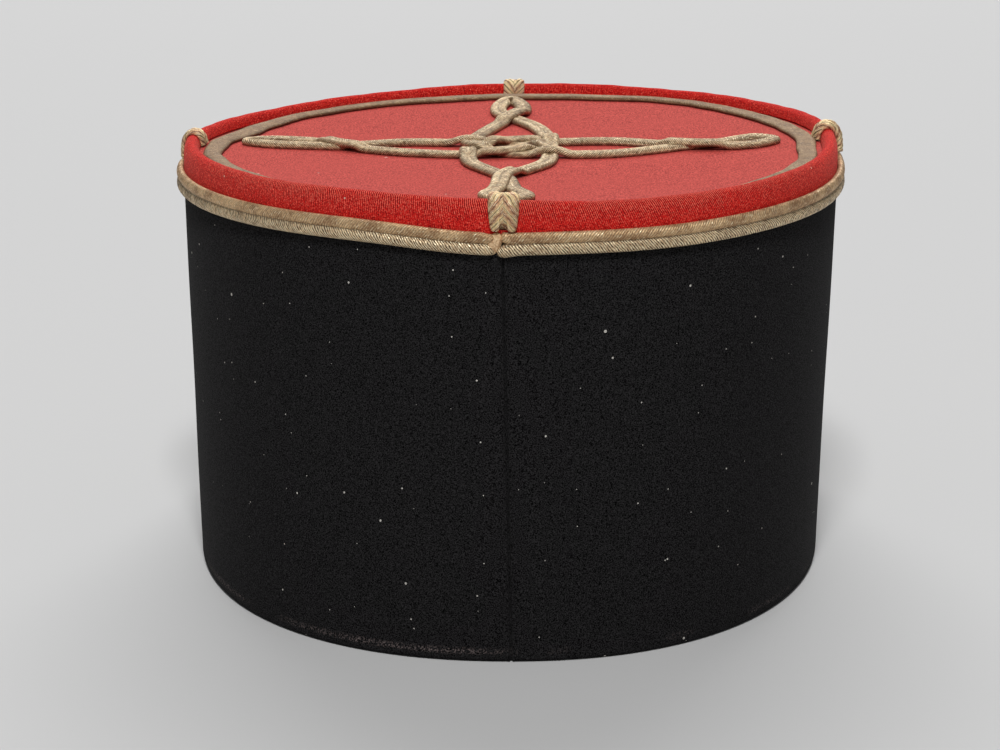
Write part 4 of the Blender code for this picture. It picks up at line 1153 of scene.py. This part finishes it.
def knot_crossings(points):
    """Pairs of places, in samples along the closed path, where it crosses itself."""
    step = np.roll(points, -1, axis=0) - points
    apart = points[None] - points[:, None]
    turn = step[:, None, 0] * step[None, :, 1] - step[:, None, 1] * step[None, :, 0]
    turn[turn == 0] = 1e-18
    first = (apart[..., 0] * step[None, :, 1] - apart[..., 1] * step[None, :, 0]) / turn
    second = (apart[..., 0] * step[:, None, 1] - apart[..., 1] * step[:, None, 0]) / turn
    inside = (first >= 0) & (first < 1) & (second >= 0) & (second < 1)
    i, j = np.nonzero(np.triu(inside, 2))
    keep = (j - i) < len(points) - 1
    return np.column_stack([i + first[i, j], j + second[i, j]])[keep]


def blur_round(values, reach):
    """Values round a closed path, averaged over a bell of the given reach in samples."""
    weight = np.hanning(2 * reach + 3)[1:-1]
    padded = np.concatenate([values[-reach:], values, values[:reach]])
    return np.convolve(padded, weight / weight.sum(), mode="valid")


def knot_lift(points, tangent, step):
    """Height of the braid above the top: at every second crossing it climbs over the other strand.

    The climb is the other strand's height and the rise of one pressed strand wherever the two strands'
    widths meet, with an eased ramp on each side."""
    count = len(points)
    pairs = knot_crossings(points)
    order = {place: rank for rank, place in enumerate(np.sort(pairs.ravel()))}
    ramp = KNOT_LIFT_RAMP * SOUTACHE_WIDTH
    lift = np.zeros(count)
    for _ in range(KNOT_LIFT_ROUNDS):
        lower = lift
        lift = np.zeros(count)
        for pair in pairs:
            over, under = sorted(pair, key=lambda place: order[place] % 2)
            apart = min(abs(over - under), count - abs(over - under))
            reach = int(min(KNOT_LIFT_REACH * SOUTACHE_WIDTH / step, KNOT_LIFT_SHARE * apart))
            window = np.arange(-reach, reach + 1)
            above = (window + int(over)) % count
            below = (window + int(under)) % count
            distances = np.linalg.norm(points[above][:, None] - points[below][None], axis=2)
            alignment = np.abs(tangent[above] @ tangent[below].T)
            meets = distances < SOUTACHE_WIDTH / 2 * (1 + alignment) + CAD_GAP
            needed = np.where(meets, lower[below][None] + KNOT_CLIMB, 0).max(axis=1)
            needed = needed * np.clip((reach - np.abs(window)) / (KNOT_LIFT_FADE * reach), 0, 1)
            away = np.abs(window[:, None] - window[None]) * step
            climb = 0.5 + 0.5 * np.cos(np.pi * np.clip(away / ramp, 0, 1))
            lift[above] = np.maximum(lift[above], (climb * needed[None]).max(axis=1))
    return blur_round(lift, int(KNOT_LIFT_BLUR * SOUTACHE_WIDTH / step))


def make_knot_braid(material, look):
    """Flat soutache carried along the closed knot, narrowed on the inside of tight bends."""
    points, length = smooth_curve(knot_waypoints(), KNOT_STEPS, closed=True)
    step = length / KNOT_STEPS
    tangent = unit(np.roll(points, -1, axis=0) - np.roll(points, 1, axis=0))
    lift = knot_lift(points, tangent, step)
    heading = np.arctan2(tangent[:, 1], tangent[:, 0])
    bend = ((np.roll(heading, -1) - np.roll(heading, 1) + np.pi) % FULL_TURN - np.pi) / (2 * step)
    near = int(KNOT_PINCH_REACH * SOUTACHE_WIDTH / step)
    shifts = range(-near, near + 1)
    room = []
    for side in (1, -1):
        radius = np.where(bend * side > 0, 1 / np.maximum(np.abs(bend), 1e-9), 1.0)
        tightest = np.min([np.roll(radius, shift) for shift in shifts], axis=0)
        half = np.minimum(SOUTACHE_WIDTH / 2, KNOT_PINCH * tightest)
        room.append(blur_round(half, near) / (SOUTACHE_WIDTH / 2))
    places = np.arange(KNOT_STEPS) * step

    def put(along, across, rise):
        def read(values):
            return np.interp(along, places, values, period=length)

        wide = across * np.where(across > 0, read(room[0]), read(room[1]))
        x = read(points[:, 0]) - read(tangent[:, 1]) * wide
        y = read(points[:, 1]) + read(tangent[:, 0]) * wide
        return on_disc(x, y, read(lift) + rise)

    mesh = braid_mesh("knot_soutache", put, length, SOUTACHE_WIDTH, KNOT_THICKNESS, look, KNOT_ROWS,
                      closed=True)
    add_piece(mesh, material, "knot_braid")


def wall_share(angles, height):
    """Share of the way up the wall at which it stands the given height above the floor."""
    share = height / WALL_HEIGHT_FRONT
    for _ in range(3):
        share = share * height / crown_points(angles, share)[..., 2]
    return share


def make_peak(material):
    """Crescent of leather: its top runs out from the wall to a beaded edge, which turns under.

    The reach falls off to the sides as (1 - across^roundness)^fullness, and the top drops as
    distance^droop."""
    across = np.linspace(-1, 1, PEAK_ROWS)[:, None]
    angles = FRONT + across * PEAK_HALF_SPAN
    half = PEAK_THICKNESS / 2
    reach = PEAK_REACH * (1 - np.abs(across) ** PEAK_ROUNDNESS) ** PEAK_FULLNESS + 2 * PEAK_THICKNESS - half
    outward = np.linspace(0, 1, PEAK_COLUMNS)
    inward = outward[::-PEAK_UNDER_STEP]
    turn = np.linspace(0, math.pi, PEAK_EDGE_SAMPLES)[1:-1]
    run = np.concatenate([outward, np.ones(len(turn)), inward])[None, :]
    over = np.concatenate([0 * outward, np.sin(turn), 0 * inward])[None, :] * half
    down = np.concatenate([0 * outward, 1 - np.cos(turn), 0 * inward + 2])[None, :] * half
    seam = PEAK_SEAM_HEIGHT + PEAK_SIDE_RISE * across ** 2
    share = wall_share(angles, seam - PEAK_THICKNESS)
    points = crown_points(angles, share, PEAK_CLEARANCE + run * reach + over)
    inset = (1 - run) * reach + over
    bead = PEAK_BEAD_HEIGHT * bell(inset - PEAK_BEAD_INSET, PEAK_BEAD_INSET / 2) * (down < half)
    points[..., 2] = seam - PEAK_DROP * (run * reach / PEAK_REACH) ** PEAK_DROOP - down + bead
    sideways = lengths_along(points[:, PEAK_COLUMNS - 1])
    section = lengths_round(points[PEAK_ROWS // 2])
    mesh = grid_mesh("peak_leather", points, grid_places(sideways[:, None], section[None, :]), cap_ends=True)
    add_piece(mesh, material, "peak")


def strap_height(across):
    """Height of the strap's middle, which rises from the front to its two buttons."""
    return STRAP_HEIGHT + STRAP_SIDE_RISE * across ** 2


def make_chin_strap(material):
    """False strap that lies on the wall across the front, with rounded ends and two creased lines."""
    across = np.linspace(-1, 1, STRAP_ROWS)[:, None]
    angles = FRONT + across * STRAP_HALF_SPAN
    taper = quarter_round(1 - np.abs(across), STRAP_END)
    turn = np.linspace(0, math.pi, STRAP_EDGE_SAMPLES)
    edge = STRAP_THICKNESS / 2
    flat = np.linspace(1, -1, STRAP_FLAT_SAMPLES)[1:-1] * (STRAP_WIDTH / 2 - edge)
    side = STRAP_WIDTH / 2 - edge * (1 - np.sin(turn))
    aside = np.concatenate([side, flat, -side, -flat])
    down = edge * np.cos(turn)
    rise = np.concatenate([edge - down, 0 * flat + 2 * edge, edge + down, 0 * flat])
    away = np.abs(aside) - STRAP_WIDTH * STRAP_CREASE_SIDE
    crease = STRAP_CREASE_DEPTH * bell(away, STRAP_CREASE_WIDTH) * (rise > edge)
    height = strap_height(across) + aside[None, :] * taper
    share = wall_share(angles, height)
    points = crown_points(angles, share, REST_GAP + (rise - crease)[None, :])
    section = lengths_round(np.column_stack([aside, rise]))
    places = grid_places(lengths_along(points[:, 0])[:, None], section[None, :])
    mesh = grid_mesh("chin_strap_leather", points, places, cap_ends=True)
    add_piece(mesh, material, "chin_strap")


def make_button(name, node, side, material):
    """Turned button: its profile swept round an axis that stands square on the strap."""
    profile = np.column_stack([column(BUTTON_PROFILE, "radius"), column(BUTTON_PROFILE, "height")])
    radius, height = (smooth_curve(profile, BUTTON_ROWS)[0] * (BUTTON_RADIUS, BUTTON_HEIGHT)).T
    turn = once_round(BUTTON_SIDES)[None, :]
    angle = FRONT + side * BUTTON_HALF_SPAN
    middle = strap_height(BUTTON_HALF_SPAN / STRAP_HALF_SPAN)
    share = wall_share(angle, middle)
    here = crown_points(angle, share)
    along = unit(crown_points(angle + NUDGE, share) - crown_points(angle - NUDGE, share))
    facing = unit(np.cross(along, crown_points(angle, share + NUDGE) - here))
    upward = np.cross(facing, along)
    seat = here + facing * (REST_GAP + STRAP_THICKNESS)
    reach = radius[:, None, None] * (along * np.cos(turn)[..., None] + upward * np.sin(turn)[..., None])
    points = seat + reach + facing * height[:, None, None]
    round_lengths = np.append(turn, FULL_TURN)[None, :] * BUTTON_RADIUS
    places = grid_places(round_lengths, lengths_along(np.column_stack([radius, height]))[:, None])
    mesh = grid_mesh(name, points, places, cap_ends=True)
    add_piece(mesh, material, node)


def make_floor(material):
    """Flat studio floor, far wider than any view of the hat."""
    corners = [(x * FLOOR_REACH, y * FLOOR_REACH, 0) for x, y in ((-1, -1), (1, -1), (1, 1), (-1, 1))]
    mesh = bpy.data.meshes.new("studio_floor")
    mesh.from_pydata(corners, [], [(0, 1, 2, 3)])
    mesh.materials.append(material)
    floor = bpy.data.objects.new("studio_floor", mesh)
    bpy.context.scene.collection.objects.link(floor)


def stand_and_aim(name, data, place, aim):
    """Stand a camera or a light at a place and turn it to face another."""
    thing = bpy.data.objects.new(name, data)
    thing.location = place
    thing.rotation_mode = "QUATERNION"
    thing.rotation_quaternion = (aim - thing.location).to_track_quat("-Z", "Y")
    bpy.context.scene.collection.objects.link(thing)
    return thing


def make_camera():
    """Camera behind the hat and a little above it, as the photograph was taken."""
    data = bpy.data.cameras.new("camera")
    data.sensor_width = VIEW_SENSOR_MM
    data.lens = VIEW_LENS_MM
    flat = math.cos(VIEW_ELEVATION)
    back = Vector((math.sin(VIEW_AZIMUTH) * flat, math.cos(VIEW_AZIMUTH) * flat, math.sin(VIEW_ELEVATION)))
    axis = Vector(HAT_AXIS)
    place = axis + Vector((0, 0, VIEW_ORBIT_HEIGHT)) + back * VIEW_DISTANCE
    aim = axis + Vector((VIEW_AIM_SIDE, 0, VIEW_AIM_HEIGHT))
    bpy.context.scene.camera = stand_and_aim("camera", data, place, aim)


def make_light():
    """Dim pale surroundings, and square soft lights that face the middle of the hat."""
    world = bpy.data.worlds.new("studio")
    world.use_nodes = True
    feed(world.node_tree.nodes["Background"], {"Color": "#f4f4f4", "Strength": SURROUND_STRENGTH})
    bpy.context.scene.world = world
    aim = Vector(HAT_AXIS) + Vector((0, 0, VIEW_ORBIT_HEIGHT))
    for row in LIGHTS:
        data = bpy.data.lights.new(row["name"], "AREA")
        data.size = row["size"]
        data.energy = row["power"]
        stand_and_aim(row["name"], data, row["place"], aim)
    bpy.context.scene.view_settings.view_transform = "Standard"


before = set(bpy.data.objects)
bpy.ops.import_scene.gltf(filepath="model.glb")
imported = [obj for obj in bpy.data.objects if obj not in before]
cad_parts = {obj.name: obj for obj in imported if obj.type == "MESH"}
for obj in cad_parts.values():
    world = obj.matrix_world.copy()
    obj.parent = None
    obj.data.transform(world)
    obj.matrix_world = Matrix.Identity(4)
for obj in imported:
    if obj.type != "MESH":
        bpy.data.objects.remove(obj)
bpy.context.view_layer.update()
HAT_AXIS = np.array([0.0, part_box("crown_wall")[0][1] + BASE_FRONT, 0.0])


def main():
    """Make every piece of the hat and then the studio."""
    gilt = {row["name"]: make_gilt_thread(row) for row in GILT_THREADS}
    looks = {row["name"]: row for row in GILT_THREADS}
    leather = make_patent_leather()
    brass = make_aged_brass()
    make_crown_wall(make_black_wool())
    make_crown_rim(make_red_twill())
    make_crown_top(make_faded_wool())
    make_band_braid(gilt["gilt_band"], looks["gilt_band"])
    make_band_fold(make_braid_lining())
    make_ring_braid(gilt["gilt_ring"], looks["gilt_ring"])
    make_knot_braid(gilt["gilt_flat"], looks["gilt_flat"])
    for row in UPRIGHTS:
        make_upright_braid(row, gilt["gilt_upright"], looks["gilt_upright"])
    make_peak(leather)
    make_chin_strap(leather)
    make_button("button_left_brass", "button_left", 1, brass)
    make_button("button_right_brass", "button_right", -1, brass)
    make_floor(make_paper_floor())
    make_camera()
    make_light()


main()
